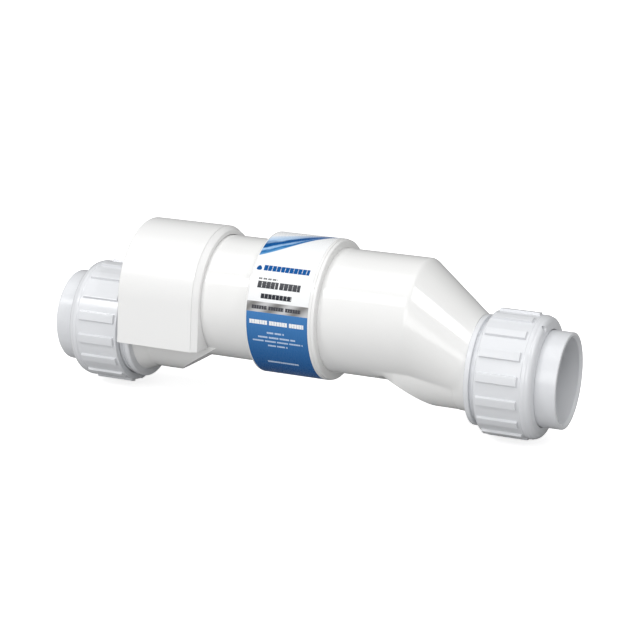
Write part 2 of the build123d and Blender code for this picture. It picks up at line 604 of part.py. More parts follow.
def main():
    os.makedirs("parts", exist_ok=True)
    for end in ("inlet", "outlet"):
        save(f"{end}_tailpiece", at_end(tailpiece(), end))
        save(f"{end}_union_nut", at_end(union_nut(RIB_PHASES[end]), end))
        save(f"{end}_union_end", at_end(union_end(), end))
        save(f"{end}_seal_ring", at_end(seal_ring(), end))
    save("inlet_housing", inlet_housing())
    save("outlet_housing", outlet_housing())
    save("centre_band", centre_band())
    save("label", label())
    save("terminal_hood", terminal_hood())
    save("front_hood_base", hood_base(-1))
    save("rear_hood_base", hood_base(1))
    save("hood_screws", hood_screws())
    bus_reach = STUD_FLANGE + BUS_THICK
    save("anode_stud", stud(*ANODE_STUD, bus_reach))
    save("cathode_stud", stud(*CATHODE_STUD, bus_reach))
    save("level_probe", stud(*PROBE_STUD, PROBE_REACH))
    save("stud_seals", stud_seals())
    save("terminal_board", terminal_board())
    save("stud_washers", stud_washers())
    save("stud_nuts", stud_nuts())
    save("anode_bus", bus_bar(ANODE_STUD, PLATE_REACH - PLATE_PITCH))
    save("cathode_bus", bus_bar(CATHODE_STUD, PLATE_REACH))
    for index in range(PLATE_COUNT):
        if index % 2:
            save(f"anode_plate_{index // 2 + 1}", plate(index, ANODE_STUD))
        else:
            save(f"cathode_plate_{index // 2 + 1}", plate(index, CATHODE_STUD))
    inlet_comb = PLATE_START + COMB_INSET
    outlet_comb = PLATE_START + PLATE_LENGTH - COMB_INSET - COMB_LENGTH
    for name, station in (("inlet", inlet_comb), ("outlet", outlet_comb)):
        save(f"{name}_upper_comb", comb(station, 1))
        save(f"{name}_lower_comb", comb(station, -1))
    save("mixing_baffle", mixing_baffle())
    save("gland_body", gland_body())
    save("gland_lock_nut", gland_lock_nut())
    save("gland_seal", gland_seal())
    save("gland_nut", gland_nut())


main()
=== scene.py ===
import json
from math import radians

import bmesh
import bpy
import numpy as np
from bpy.props import FloatProperty, FloatVectorProperty, IntProperty, PointerProperty
from mathutils import Matrix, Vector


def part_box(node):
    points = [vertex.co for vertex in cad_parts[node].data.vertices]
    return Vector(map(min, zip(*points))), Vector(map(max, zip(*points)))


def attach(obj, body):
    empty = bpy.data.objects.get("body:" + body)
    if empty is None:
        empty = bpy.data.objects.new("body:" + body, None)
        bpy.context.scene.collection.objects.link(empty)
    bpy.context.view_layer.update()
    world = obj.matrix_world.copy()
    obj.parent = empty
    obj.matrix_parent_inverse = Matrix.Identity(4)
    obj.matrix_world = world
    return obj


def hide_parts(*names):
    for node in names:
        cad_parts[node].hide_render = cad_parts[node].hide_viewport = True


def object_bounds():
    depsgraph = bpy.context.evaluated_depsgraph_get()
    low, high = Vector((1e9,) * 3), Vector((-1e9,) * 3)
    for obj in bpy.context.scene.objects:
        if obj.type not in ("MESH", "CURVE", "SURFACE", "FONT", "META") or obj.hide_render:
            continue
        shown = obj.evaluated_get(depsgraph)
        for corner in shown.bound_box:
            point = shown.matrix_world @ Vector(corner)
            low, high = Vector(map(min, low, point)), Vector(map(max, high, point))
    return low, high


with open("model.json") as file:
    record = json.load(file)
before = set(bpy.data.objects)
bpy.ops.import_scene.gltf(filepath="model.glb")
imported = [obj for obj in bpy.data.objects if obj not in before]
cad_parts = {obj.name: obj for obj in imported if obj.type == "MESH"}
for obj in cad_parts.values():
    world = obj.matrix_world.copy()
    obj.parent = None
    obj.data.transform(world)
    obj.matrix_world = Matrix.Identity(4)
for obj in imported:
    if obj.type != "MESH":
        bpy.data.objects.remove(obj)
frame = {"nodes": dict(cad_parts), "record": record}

bl_info = {
    "name": "Pool chlorinator cell",
    "version": (1, 0, 0),
    "blender": (4, 5, 0),
    "location": "3D View > Sidebar > Cell",
    "description": "Surfaces, finishes and studio for an in-line salt chlorinator cell",
    "category": "Add Mesh",
}

MM = 0.001
CAD_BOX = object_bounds()


def low(node, axis):
    """Lowest coordinate of a CAD node along an axis, in millimetres."""
    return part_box(node)[0][axis] / MM


def high(node, axis):
    """Highest coordinate of a CAD node along an axis, in millimetres."""
    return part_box(node)[1][axis] / MM


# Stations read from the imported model, in millimetres
INLET_MOUTH = low("inlet_tailpiece", 0)
OUTLET_MOUTH = high("outlet_tailpiece", 0)
TAIL_LENGTH = high("inlet_tailpiece", 0) - INLET_MOUTH
FLANGE_R = high("inlet_tailpiece", 1)
NUT_FACE = low("inlet_union_nut", 0) - INLET_MOUTH
NUT_OPEN = high("inlet_union_nut", 0) - INLET_MOUTH
UNION_FACE = low("inlet_union_end", 0) - INLET_MOUTH
COLLAR_END = high("inlet_union_end", 0) - INLET_MOUTH
COLLAR_R = high("inlet_union_end", 1)
BAND_LEFT = low("centre_band", 0)
BAND_RIGHT = high("centre_band", 0)
BAND_R = high("centre_band", 1)
AXIS_Z = (low("centre_band", 2) + high("centre_band", 2)) / 2
BODY_R = high("outlet_housing", 1)
HOUSING_LEFT = low("outlet_housing", 0)
SPIGOT_END = OUTLET_MOUTH - high("outlet_housing", 0)
LABEL_LEFT = low("label", 0)
LABEL_RIGHT = high("label", 0)
LABEL_R = -low("label", 1)
HOOD_LEFT = low("terminal_hood", 0)
HOOD_RIGHT = high("terminal_hood", 0)
HOOD_R = -low("terminal_hood", 1)
HOOD_FLOOR = low("terminal_hood", 2)

# Sizes shared by several pieces, in millimetres
BORE_R = 26.3               # clear waterway
PORT_R = 30.25              # outside of the port necks
BODY_WALL = 4.0
CONE_START, CONE_END = 53.0, 107.4      # reducer, from the mouth
RAMP_FOOT = 92.8            # where the ramp under the chamber leaves the port, from the mouth
RAMP_SLOPE = radians(33.0)


def length(name, description, default):
    """A length that a user may change."""
    return FloatProperty(name=name, description=description, default=default, unit="LENGTH")


def colour_choice(name, description, default):
    """A colour that a user may change."""
    return FloatVectorProperty(name=name, description=description, default=default, subtype="COLOR",
                               min=0, max=1)


class CellSizes(bpy.types.PropertyGroup):
    """Sizes of the moulded detail that a user may change."""
    rib_count: IntProperty(name="Nut ribs", description="Grip ribs round each union nut", default=16, min=4)
    rib_width: length("Rib width", "Width of a grip rib round the nut", 0.0065)
    rib_height: length("Rib height", "Height of a grip rib above the nut", 0.0018)
    rib_edge: length("Rib edge", "Width of the slope at a rib's edge", 0.0006)
    shoulder: length("Nut shoulder", "Radius of the nut's rounded shoulder", 0.0042)
    thread_pitch: length("Thread pitch", "Travel of the union thread in one turn", 0.00508)
    thread_depth: length("Thread depth", "Depth of the union thread's groove", 0.0011)
    crease: length("Crease radius", "Softness of the moulded creases on the housings", 0.0007)
    hinge: length("Reducer edge", "Length of the soft bend where the reducer starts", 0.0014)
    hub_rise: length("Hub flare", "Height of the port's flare at the union", 0.0046)
    hub_length: length("Hub length", "Length of the port's flare", 0.011)


class CellColours(bpy.types.PropertyGroup):
    """Colours of the finishes."""
    housing: colour_choice("Housing", "Moulded housing plastic", (0.83, 0.83, 0.822))
    hood: colour_choice("Hood", "Moulded hood plastic", (0.83, 0.83, 0.825))
    union: colour_choice("Unions", "Glossy union plastic", (0.725, 0.738, 0.762))
    rubber: colour_choice("Rubber", "Seal rubber", (0.03, 0.03, 0.033))
    field: colour_choice("Label field", "Blue field of the label", (0.0, 0.075, 0.27))
    sky: colour_choice("Label light blue", "Lighter blue of the label", (0.06, 0.2, 0.47))


# Surfaces

def smooth(value, start, end):
    """Eased step: 3t^2 - 2t^3 with t running from 0 at start to 1 at end."""
    t = np.clip((value - start) / (end - start), 0.0, 1.0)
    return t * t * (3.0 - 2.0 * t)


def soft_max(a, b, width):
    """Larger of two heights, with a parabola of the given width over the crossing."""
    near = np.maximum(width - np.abs(a - b), 0.0) / width
    return np.maximum(a, b) + near * near * width / 4.0


def soft_min(a, b, width):
    """Smaller of two heights, with a parabola of the given width over the crossing."""
    return -soft_max(-a, -b, width)


def wrap(angle):
    """Angle in radians brought to between minus pi and pi."""
    return (angle + np.pi) % (2 * np.pi) - np.pi


def full_turn(count):
    """Column of angles evenly round a circle."""
    return np.linspace(0, 2 * np.pi, count, endpoint=False)[:, None]


def stacked(*coordinates):
    """Points from coordinates that are broadcast against each other."""
    return np.stack(np.broadcast_arrays(*coordinates), axis=-1)


def outline(corners, extra=None, arc_steps=5, guard=0.15):
    """Closed outline through corners of (along, radius, rounding).

    Each corner becomes a circular arc tangent to its two runs. Each run keeps a point just inside
    both its ends, so that its shading stays flat, and takes the extra stations listed for it.
    """
    corner = np.array([c[:2] for c in corners], float)
    rounding = [c[2] for c in corners]
    count = len(corners)
    starts, ends, arcs = [], [], []
    for k in range(count):
        here, before, after = corner[k], corner[k - 1], corner[(k + 1) % count]
        u = (before - here) / np.linalg.norm(before - here)
        v = (after - here) / np.linalg.norm(after - here)
        half = np.arccos(np.clip(u @ v, -1, 1)) / 2
        reach = rounding[k] / np.tan(half)
        middle = here + (u + v) / np.linalg.norm(u + v) * rounding[k] / np.sin(half)
        first, last = here + u * reach - middle, here + v * reach - middle
        a0, a1 = np.arctan2(first[1], first[0]), np.arctan2(last[1], last[0])
        steps = arc_steps if rounding[k] < 2 else 3 * arc_steps
        sweep = a0 + wrap(a1 - a0) * np.linspace(0, 1, steps + 1)
        arcs.append(middle + rounding[k] * np.column_stack([np.cos(sweep), np.sin(sweep)]))
        starts.append(here + u * reach)
        ends.append(here + v * reach)
    points = []
    for k in range(count):
        points.append(arcs[k])
        run = starts[(k + 1) % count] - ends[k]
        length = np.linalg.norm(run)
        along = np.array([guard, length - guard]) if length > 3 * guard else np.array([])
        if extra and k in extra:
            stations = (np.asarray(extra[k]) - ends[k][0]) / (run[0] if run[0] else 1.0) * length
            along = np.unique(np.round(np.concatenate([along, stations]), 4))
            along = along[(along > 0.02) & (along < length - 0.02)]
        if len(along):
            points.append(ends[k] + along[:, None] * run / length)
    return np.concatenate(points)


def turned(along, radius, angles, centre_z=0.0):
    """Surface of revolution about X: (along, radius cos angle, centre + radius sin angle)."""
    return stacked(along, radius * np.cos(angles), centre_z + radius * np.sin(angles))


def grid_faces(rows, columns, close_rows=True, close_columns=True, first=0):
    """Quads of a grid of points, closed on itself in each direction that is asked for."""
    i = np.arange(rows if close_rows else rows - 1)[:, None]
    j = np.arange(columns if close_columns else columns - 1)[None, :]
    i2, j2 = (i + 1) % rows, (j + 1) % columns
    corners = [i * columns + j, i2 * columns + j, i2 * columns + j2, i * columns + j2]
    return first + stacked(*corners).reshape(-1, 4)


def add_piece(node, points, body, slot, faces=None, caps=(), uv=None, sharp=38.0, ending="_skin"):
    """Mesh object in place of a CAD node, from points in millimetres, with its faces turned outwards.

    The points are a grid closed both ways unless faces are given.
    """
    if faces is None:
        faces = grid_faces(*points.shape[:2])
    mesh = bpy.data.meshes.new(node + ending)
    mesh.from_pydata((points.reshape(-1, 3) * MM).tolist(), [], faces.tolist() + [list(c) for c in caps])
    if uv is not None:
        layer = mesh.uv_layers.new(name="print")
        index = np.empty(len(mesh.loops), dtype=np.int32)
        mesh.loops.foreach_get("vertex_index", index)
        layer.data.foreach_set("uv", uv.reshape(-1, 2)[index].astype(np.float32).ravel())
    work = bmesh.new()
    work.from_mesh(mesh)
    bmesh.ops.recalc_face_normals(work, faces=work.faces)
    work.to_mesh(mesh)
    work.free()
    mesh.polygons.foreach_set("use_smooth", np.ones(len(mesh.polygons), dtype=bool))
    mesh.set_sharp_from_angle(angle=radians(sharp))
    mesh.materials.append(finish_named(slot))
    piece = bpy.data.objects.new(node + ending, mesh)
    bpy.context.scene.collection.objects.link(piece)
    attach(piece, body)
    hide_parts(node)


def at_end(points, end):
    """Points with X measured from a mouth, moved to the inlet or mirrored to the outlet."""
    placed = points.copy()
    placed[..., 0] = INLET_MOUTH + points[..., 0] if end == "inlet" else OUTLET_MOUTH - points[..., 0]
    return placed


def thread_wave(along, angles, end, pitch):
    """Share of the thread's ridge at each point: a clipped cosine of along / pitch -+ angle / turn."""
    hand = 1.0 if end == "inlet" else -1.0
    phase = along / pitch - hand * angles / (2 * np.pi)
    return np.clip(0.5 + 0.85 * np.cos(2 * np.pi * phase), 0.0, 1.0)


def circle_reach(circle_z, radius, angles, start_z):
    """Distance from (0, start_z) to a circle about (0, circle_z), along each angle."""
    rise = start_z - circle_z
    return -rise * np.sin(angles) + np.sqrt(np.maximum(radius ** 2 - (rise * np.cos(angles)) ** 2, 0.0))


# Finishes

def put(tree, kind, **values):
    """One shader node, with its settings and unlinked inputs set, and sockets linked."""
    node = tree.nodes.new(kind)
    for key, value in values.items():
        if hasattr(node, key) and not key[0].isupper():
            setattr(node, key, value)
            continue
        numbered = key[0] == "I" and key[1:].isdigit()
        socket = node.inputs[int(key[1:]) if numbered else key.replace("_", " ")]
        if isinstance(value, bpy.types.NodeSocket):
            tree.links.new(value, socket)
        else:
            socket.default_value = value
    return node


def calc(tree, operation, a, b=0.0, c=0.0, clamp=False):
    """Result of one Math node."""
    return put(tree, "ShaderNodeMath", operation=operation, use_clamp=clamp, I0=a, I1=b, I2=c).outputs[0]


def blend(tree, share, a, b):
    """Colour a mixed with colour b by a share."""
    node = tree.nodes.new("ShaderNodeMix")
    node.data_type = "RGBA"
    for socket, value in ((node.inputs["Factor"], share), (node.inputs[6], a), (node.inputs[7], b)):
        if isinstance(value, bpy.types.NodeSocket):
            tree.links.new(value, socket)
        elif hasattr(value, "__len__"):
            socket.default_value = (*value[:3], 1.0)
        else:
            socket.default_value = value
    return node.outputs[2]


def noise(tree, place, scale, detail):
    """Height of a noise at a place."""
    return put(tree, "ShaderNodeTexNoise", Vector=place, Scale=scale, Detail=detail).outputs["Fac"]


def about_half(tree, value, size, base, clamp=False):
    """Base plus size times the height of a value above one half."""
    return calc(tree, "MULTIPLY_ADD", calc(tree, "SUBTRACT", value, 0.5), size, base, clamp=clamp)


def edge_mask(tree, value, steepness):
    """Mask of 0 where a value is below nought and 1 above it, with a short ramp between."""
    return calc(tree, "MULTIPLY_ADD", value, steepness, 0.5, clamp=True)


def new_group(name, inputs, outputs):
    """Empty node group with named sockets, and its input and output nodes."""
    tree = bpy.data.node_groups.new(name, "ShaderNodeTree")
    for label, kind, default in inputs:
        socket = tree.interface.new_socket(name=label, in_out="INPUT", socket_type=kind)
        if default is not None:
            socket.default_value = default
    for label, kind in outputs:
        tree.interface.new_socket(name=label, in_out="OUTPUT", socket_type=kind)
    return tree, tree.nodes.new("NodeGroupInput"), tree.nodes.new("NodeGroupOutput")


def hand_out(tree, go, **results):
    """Results linked to a group's outputs."""
    for name, result in results.items():
        tree.links.new(result, go.inputs[name])


def use_group(tree, name, **values):
    """A node that uses a named group."""
    node = tree.nodes.new("ShaderNodeGroup")
    node.node_tree = bpy.data.node_groups[name]
    for key, value in values.items():
        socket = node.inputs[key.replace("_", " ")]
        if isinstance(value, bpy.types.NodeSocket):
            tree.links.new(value, socket)
        elif hasattr(value, "__len__") and len(value) == 3 and socket.type == "RGBA":
            socket.default_value = (*value, 1.0)
        else:
            socket.default_value = value
    return node


FLOAT, COLOUR, VECTOR = "NodeSocketFloat", "NodeSocketColor", "NodeSocketVector"


def make_moulded_grain():
    """Moulded plastic: fine orange-peel height, slow tint drift, and flow marks in the gloss."""
    tree, come, go = new_group("moulded_grain", [
        ("Tint", COLOUR, (0.8, 0.8, 0.8, 1)), ("Gloss", FLOAT, 0.3), ("Drift", FLOAT, 0.03),
    ], [("Color", COLOUR), ("Roughness", FLOAT), ("Height", FLOAT)])
    place = put(tree, "ShaderNodeTexCoord").outputs["Object"]
    slow = noise(tree, place, 14.0, 3.0)
    flow_place = put(tree, "ShaderNodeMapping", Vector=place, Scale=(9.0, 60.0, 60.0)).outputs[0]
    flow = noise(tree, flow_place, 1.0, 4.0)
    peel = noise(tree, place, 420.0, 2.0)
    speck = noise(tree, place, 1900.0, 1.0)
    shade = about_half(tree, slow, come.outputs["Drift"], 1.0)
    speckle = about_half(tree, speck, 0.02, shade)
    tinted = put(tree, "ShaderNodeVectorMath", operation="SCALE", I0=come.outputs["Tint"])
    tree.links.new(speckle, tinted.inputs["Scale"])
    rough = about_half(tree, flow, 0.1, come.outputs["Gloss"])
    rough = about_half(tree, peel, 0.06, rough, clamp=True)
    height = calc(tree, "MULTIPLY_ADD", speck, 0.25, peel)
    hand_out(tree, go, Color=tinted.outputs[0], Roughness=rough, Height=height)


def make_drawn_metal():
    """Drawn or rolled metal: noise stretched along one axis for its lines, and a slow heat tint."""
    tree, come, go = new_group("drawn_metal", [
        ("Tint", COLOUR, (0.5, 0.5, 0.5, 1)), ("Warm", COLOUR, (0.5, 0.45, 0.4, 1)), ("Gloss", FLOAT, 0.3),
        ("Stretch", VECTOR, (60.0, 2500.0, 2500.0)),
    ], [("Color", COLOUR), ("Roughness", FLOAT), ("Height", FLOAT)])
    place = put(tree, "ShaderNodeTexCoord").outputs["Object"]
    drawn = put(tree, "ShaderNodeVectorMath", operation="MULTIPLY", I0=place, I1=come.outputs["Stretch"])
    lines = noise(tree, drawn.outputs[0], 1.0, 3.0)
    slow = noise(tree, place, 70.0, 3.0)
    tint = blend(tree, calc(tree, "MULTIPLY", slow, 0.6), come.outputs["Tint"], come.outputs["Warm"])
    rough = calc(tree, "MULTIPLY_ADD", lines, 0.22, come.outputs["Gloss"], clamp=True)
    hand_out(tree, go, Color=tint, Roughness=rough, Height=lines)


def make_expanded_mesh():
    """Diamond openings of expanded sheet: two crossed sets of diagonal lines on the plate's face."""
    tree, come, go = new_group("expanded_mesh", [("Long", FLOAT, 0.006), ("Short", FLOAT, 0.0032)],
                               [("Strand", FLOAT)])
    place = put(tree, "ShaderNodeSeparateXYZ", Vector=put(tree, "ShaderNodeTexCoord").outputs["Object"])
    across = calc(tree, "DIVIDE", place.outputs["X"], come.outputs["Long"])
    up = calc(tree, "DIVIDE", place.outputs["Z"], come.outputs["Short"])
    one = calc(tree, "PINGPONG", calc(tree, "ADD", across, up), 0.5)
    two = calc(tree, "PINGPONG", calc(tree, "SUBTRACT", across, up), 0.5)
    strand = calc(tree, "MINIMUM", one, two)
    hand_out(tree, go, Strand=calc(tree, "MULTIPLY", strand, 4.0, clamp=True))


def make_printed_bar():
    """Mask of a printed bar cut into words: 1 inside its edges, 0 in the gaps between words."""
    tree, come, go = new_group("printed_bar", [
        ("Across", FLOAT, 0), ("Along", FLOAT, 0), ("Left", FLOAT, 0), ("Right", FLOAT, 1), ("Top", FLOAT, 0),
        ("Bottom", FLOAT, 1), ("Word", FLOAT, 100), ("Gap", FLOAT, 0), ("Stroke", FLOAT, 1.5),
    ], [("Mask", FLOAT)])
    shares = []
    for place, start, end in (("Across", "Left", "Right"), ("Along", "Top", "Bottom")):
        inside = calc(tree, "SUBTRACT", come.outputs[place], come.outputs[start])
        beyond = calc(tree, "SUBTRACT", come.outputs[end], come.outputs[place])
        nearest = calc(tree, "MINIMUM", inside, beyond)
        shares.append(edge_mask(tree, nearest, 8.0))
    step = calc(tree, "FLOORED_MODULO", calc(tree, "SUBTRACT", come.outputs["Across"], come.outputs["Left"]),
                come.outputs["Word"])
    rest = calc(tree, "SUBTRACT", come.outputs["Word"], step)
    word = edge_mask(tree, calc(tree, "SUBTRACT", rest, come.outputs["Gap"]), 8.0)
    # Strokes: thin upright slits at an even pitch, ragged by noise
    pitch = calc(tree, "PINGPONG", calc(tree, "DIVIDE", step, come.outputs["Stroke"]), 0.5)
    ragged_place = put(tree, "ShaderNodeCombineXYZ", X=come.outputs["Across"], Y=come.outputs["Along"])
    ragged = noise(tree, ragged_place.outputs[0], 0.9, 1.0)
    slit = calc(tree, "SUBTRACT", pitch, calc(tree, "MULTIPLY_ADD", ragged, 0.28, -0.105))
    stroke = edge_mask(tree, slit, 9.0)
    worded = calc(tree, "MULTIPLY", calc(tree, "MULTIPLY", *shares), word)
    hand_out(tree, go, Mask=calc(tree, "MULTIPLY", worded, stroke))


def new_finish(name, **fixed):
    """Material with a Principled shader whose fixed values are set on its own sockets."""
    finish = bpy.data.materials.new("cell_" + name)
    finish.use_nodes = True
    shader = finish.node_tree.nodes["Principled BSDF"]
    for key, value in fixed.items():
        shader.inputs[key.replace("_", " ")].default_value = value
    return finish, finish.node_tree, shader


def finish_from(tree, shader, colour, roughness, height, depth, reach):
    """Shader given its colour, its roughness and a bump from a height."""
    bump = put(tree, "ShaderNodeBump", Strength=depth, Distance=reach, Height=height)
    for value, socket in ((colour, "Base Color"), (roughness, "Roughness"), (bump.outputs["Normal"], "Normal")):
        tree.links.new(value, shader.inputs[socket])


def plain_finish(name, group, depth, reach, values, **fixed):
    """Finish whose colour, roughness and height come from one group."""
    finish, tree, shader = new_finish(name, **fixed)
    grain = use_group(tree, group, **values)
    finish_from(tree, shader, *(grain.outputs[k] for k in ("Color", "Roughness", "Height")), depth, reach)
    return finish


def moulded(name, tint, gloss, drift=0.03, depth=0.04, **fixed):
    """Moulded plastic finish."""
    values = {"Tint": tuple(tint), "Gloss": gloss, "Drift": drift}
    return plain_finish(name, "moulded_grain", depth, 0.001, values, **fixed)


def metal(name, tint, warm, gloss, stretch):
    """Drawn metal finish."""
    values = {"Tint": tint, "Warm": warm, "Gloss": gloss, "Stretch": stretch}
    return plain_finish(name, "drawn_metal", 0.12, 0.0002, values, Metallic=1.0)


def expanded_sheet(name, metallic, painted_shade_in_openings, group, **values):
    """Expanded titanium: strands finished by a group, with painted shade in the diamond openings between them,
    which are coloured dark and not cut through.
    """
    finish, tree, shader = new_finish(name, Metallic=metallic)
    grain = use_group(tree, group, **values)
    strand = use_group(tree, "expanded_mesh").outputs["Strand"]
    # Painted shade: the openings take a near-black colour for the shade seen through the holes
    tint = blend(tree, strand, painted_shade_in_openings, grain.outputs["Color"])
    finish_from(tree, shader, tint, grain.outputs["Roughness"], strand, 0.6, 0.0004)
    return finish


LABEL_TOP = 68.0            # degrees from +Y towards +Z at the label's upper end
LABEL_FOOT = 272.0
STRIPE_TOP, STRIPE_FOOT = 169.1, 177.2
DEGREE = radians(1.0)
WHITE, INK, GREY_INK = (0.86, 0.87, 0.88), (0.03, 0.032, 0.04), (0.13, 0.13, 0.135)
PALE = (0.5, 0.62, 0.8)


def label_bars(field):
    """Printed bars as (left, right, upper edge, lower edge, word length, word gap, stroke, colour).

    Left and right are millimetres from the label's left edge, the edges are degrees round the band.
    """
    blue = (0.0, field[1] * 1.1, field[2] * 1.1)
    return [
        (7.4, 42.8, 138.7, 143.6, 100.0, 0.0, 3.3, blue),
        (5.8, 20.6, 149.9, 151.3, 3.6, 0.7, 1.4, GREY_INK),
        (5.8, 39.2, 152.6, 158.2, 17.0, 0.9, 3.4, INK),
        (9.8, 33.6, 162.5, 166.4, 100.0, 0.0, 2.9, INK),
        (3.8, 41.6, 172.0, 175.0, 13.0, 1.2, 1.9, (0.07, 0.07, 0.08)),
        (2.4, 44.4, 183.6, 187.0, 15.4, 1.3, 2.0, WHITE),
        (15.8, 29.2, 192.9, 194.4, 6.1, 0.9, 1.2, PALE),
        (8.7, 37.6, 197.0, 198.5, 8.4, 0.9, 1.2, PALE),
        (4.2, 43.0, 200.6, 202.0, 9.5, 0.9, 1.2, PALE),
        (15.6, 30.9, 204.5, 206.0, 7.1, 0.9, 1.2, PALE),
        (11.8, 36.0, 222.9, 225.1, 100.0, 0.0, 1.6, PALE),
    ]


def printed_label_finish(colours):
    """Glossy printed film: white head with a blue sweep, grey stripe with a painted sheen, blue field and
    worded bars.
    """
    finish, tree, shader = new_finish("printed_label", Specular_IOR_Level=0.1, Coat_Weight=0.03,
                                      Coat_Roughness=0.12)
    flat = put(tree, "ShaderNodeUVMap", uv_map="print").outputs[0]
    spot = put(tree, "ShaderNodeSeparateXYZ", Vector=flat)
    across = calc(tree, "MULTIPLY", spot.outputs["X"], 100.0)
    along = calc(tree, "MULTIPLY", spot.outputs["Y"], 1000.0)
    down = calc(tree, "SUBTRACT", along, STRIPE_FOOT)
    fade = calc(tree, "MULTIPLY", down, 1 / 60.0, clamp=True)
    field = blend(tree, fade, tuple(colours.sky), tuple(colours.field))
    mottle = noise(tree, flat, 22.0, 4.0)
    field = blend(tree, calc(tree, "MULTIPLY", mottle, 0.1), field, (0.08, 0.3, 0.6))
    on_field = edge_mask(tree, down, 4.0)
    colour = blend(tree, on_field, WHITE, field)

    # The sweep lies between 104 - 0.45 x and 130 - 0.47 x - 0.011 x^2, in degrees, with x in millimetres
    square = calc(tree, "MULTIPLY", across, across)
    bow = calc(tree, "MULTIPLY_ADD", square, 0.011, calc(tree, "MULTIPLY", across, 0.47))
    lower = calc(tree, "SUBTRACT", 130.0, bow)
    upper = calc(tree, "SUBTRACT", 104.0, calc(tree, "MULTIPLY", across, 0.45))
    below = edge_mask(tree, calc(tree, "SUBTRACT", lower, along), 1.5)
    above = edge_mask(tree, calc(tree, "SUBTRACT", along, upper), 0.35)
    share = calc(tree, "DIVIDE", calc(tree, "SUBTRACT", along, upper),
                 calc(tree, "MAXIMUM", calc(tree, "SUBTRACT", lower, upper), 1.0), clamp=True)
    streak_place = put(tree, "ShaderNodeCombineXYZ", X=calc(tree, "MULTIPLY", share, 5.0),
                       Y=calc(tree, "MULTIPLY", across, 0.06))
    streaks = noise(tree, streak_place.outputs[0], 1.0, 4.0)
    tone = about_half(tree, streaks, 0.5, share)
    ramp = put(tree, "ShaderNodeValToRGB", I0=tone)
    bands = ramp.color_ramp.elements
    bands[0].position, bands[0].color = 0.0, (0.66, 0.76, 0.88, 1)
    bands[1].position, bands[1].color = 1.0, (0.12, 0.33, 0.6, 1)
    for position, band in (
        (0.34, (0.36, 0.54, 0.76, 1)), (0.46, (0.0, 0.07, 0.25, 1)), (0.66, (0.0, 0.09, 0.3, 1)),
        (0.76, (0.36, 0.56, 0.8, 1)), (0.84, (0.01, 0.14, 0.38, 1)),
    ):
        bands.new(position).color = band
    tip = calc(tree, "MULTIPLY_ADD", across, 0.03, -0.45, clamp=True)
    sweep = blend(tree, tip, ramp.outputs["Color"], (0.012, 0.09, 0.32))
    colour = blend(tree, calc(tree, "MULTIPLY", below, above), colour, sweep)

    # Metallic stripe: grey print with a painted sheen, a slow light and dark wave along its length that stands
    # in for reflections on the metallic ink
    wave = calc(tree, "SINE", calc(tree, "MULTIPLY_ADD", across, 0.33, calc(tree, "MULTIPLY", along, 0.35)))
    stripe_grey_and_painted_sheen = blend(tree, calc(tree, "MULTIPLY_ADD", wave, 0.5, 0.5), (0.22, 0.215, 0.21), (0.55, 0.55, 0.56))
    below_top = calc(tree, "SUBTRACT", along, STRIPE_TOP)
    in_stripe = calc(tree, "MINIMUM", below_top, calc(tree, "MULTIPLY", down, -1.0))
    colour = blend(tree, edge_mask(tree, in_stripe, 4.0), colour, stripe_grey_and_painted_sheen)

    for left, right, top, foot, word, gap, stroke, ink in label_bars(colours.field):
        mask = use_group(tree, "printed_bar", Across=across, Along=along, Left=left, Right=right, Top=top,
                         Bottom=foot, Word=word, Gap=gap, Stroke=stroke).outputs["Mask"]
        colour = blend(tree, mask, colour, ink)

    # Plain round drop ahead of the first bar
    aside = calc(tree, "SUBTRACT", across, 4.0)
    beneath = calc(tree, "MULTIPLY", calc(tree, "SUBTRACT", along, 141.6), LABEL_R * DEGREE)
    pull = calc(tree, "MULTIPLY_ADD", beneath, -0.2, 1.0)
    wide = calc(tree, "MULTIPLY", aside, pull)
    far = calc(tree, "SQRT", calc(tree, "MULTIPLY_ADD", wide, wide, calc(tree, "MULTIPLY", beneath, beneath)))
    drop = edge_mask(tree, calc(tree, "SUBTRACT", 1.9, far), 6.0)
    colour = blend(tree, drop, colour, tuple(colours.field))

    film = noise(tree, flat, 300.0, 2.0)
    finish_from(tree, shader, colour, calc(tree, "MULTIPLY_ADD", film, 0.12, 0.22), film, 0.05, 0.0002)
    return finish


def finish_named(name):
    """A finish that the finishes operator has made."""
    finish = bpy.data.materials.get("cell_" + name)
    if finish is None:
        raise RuntimeError("Make the finishes first: " + name + " is missing")
    return finish


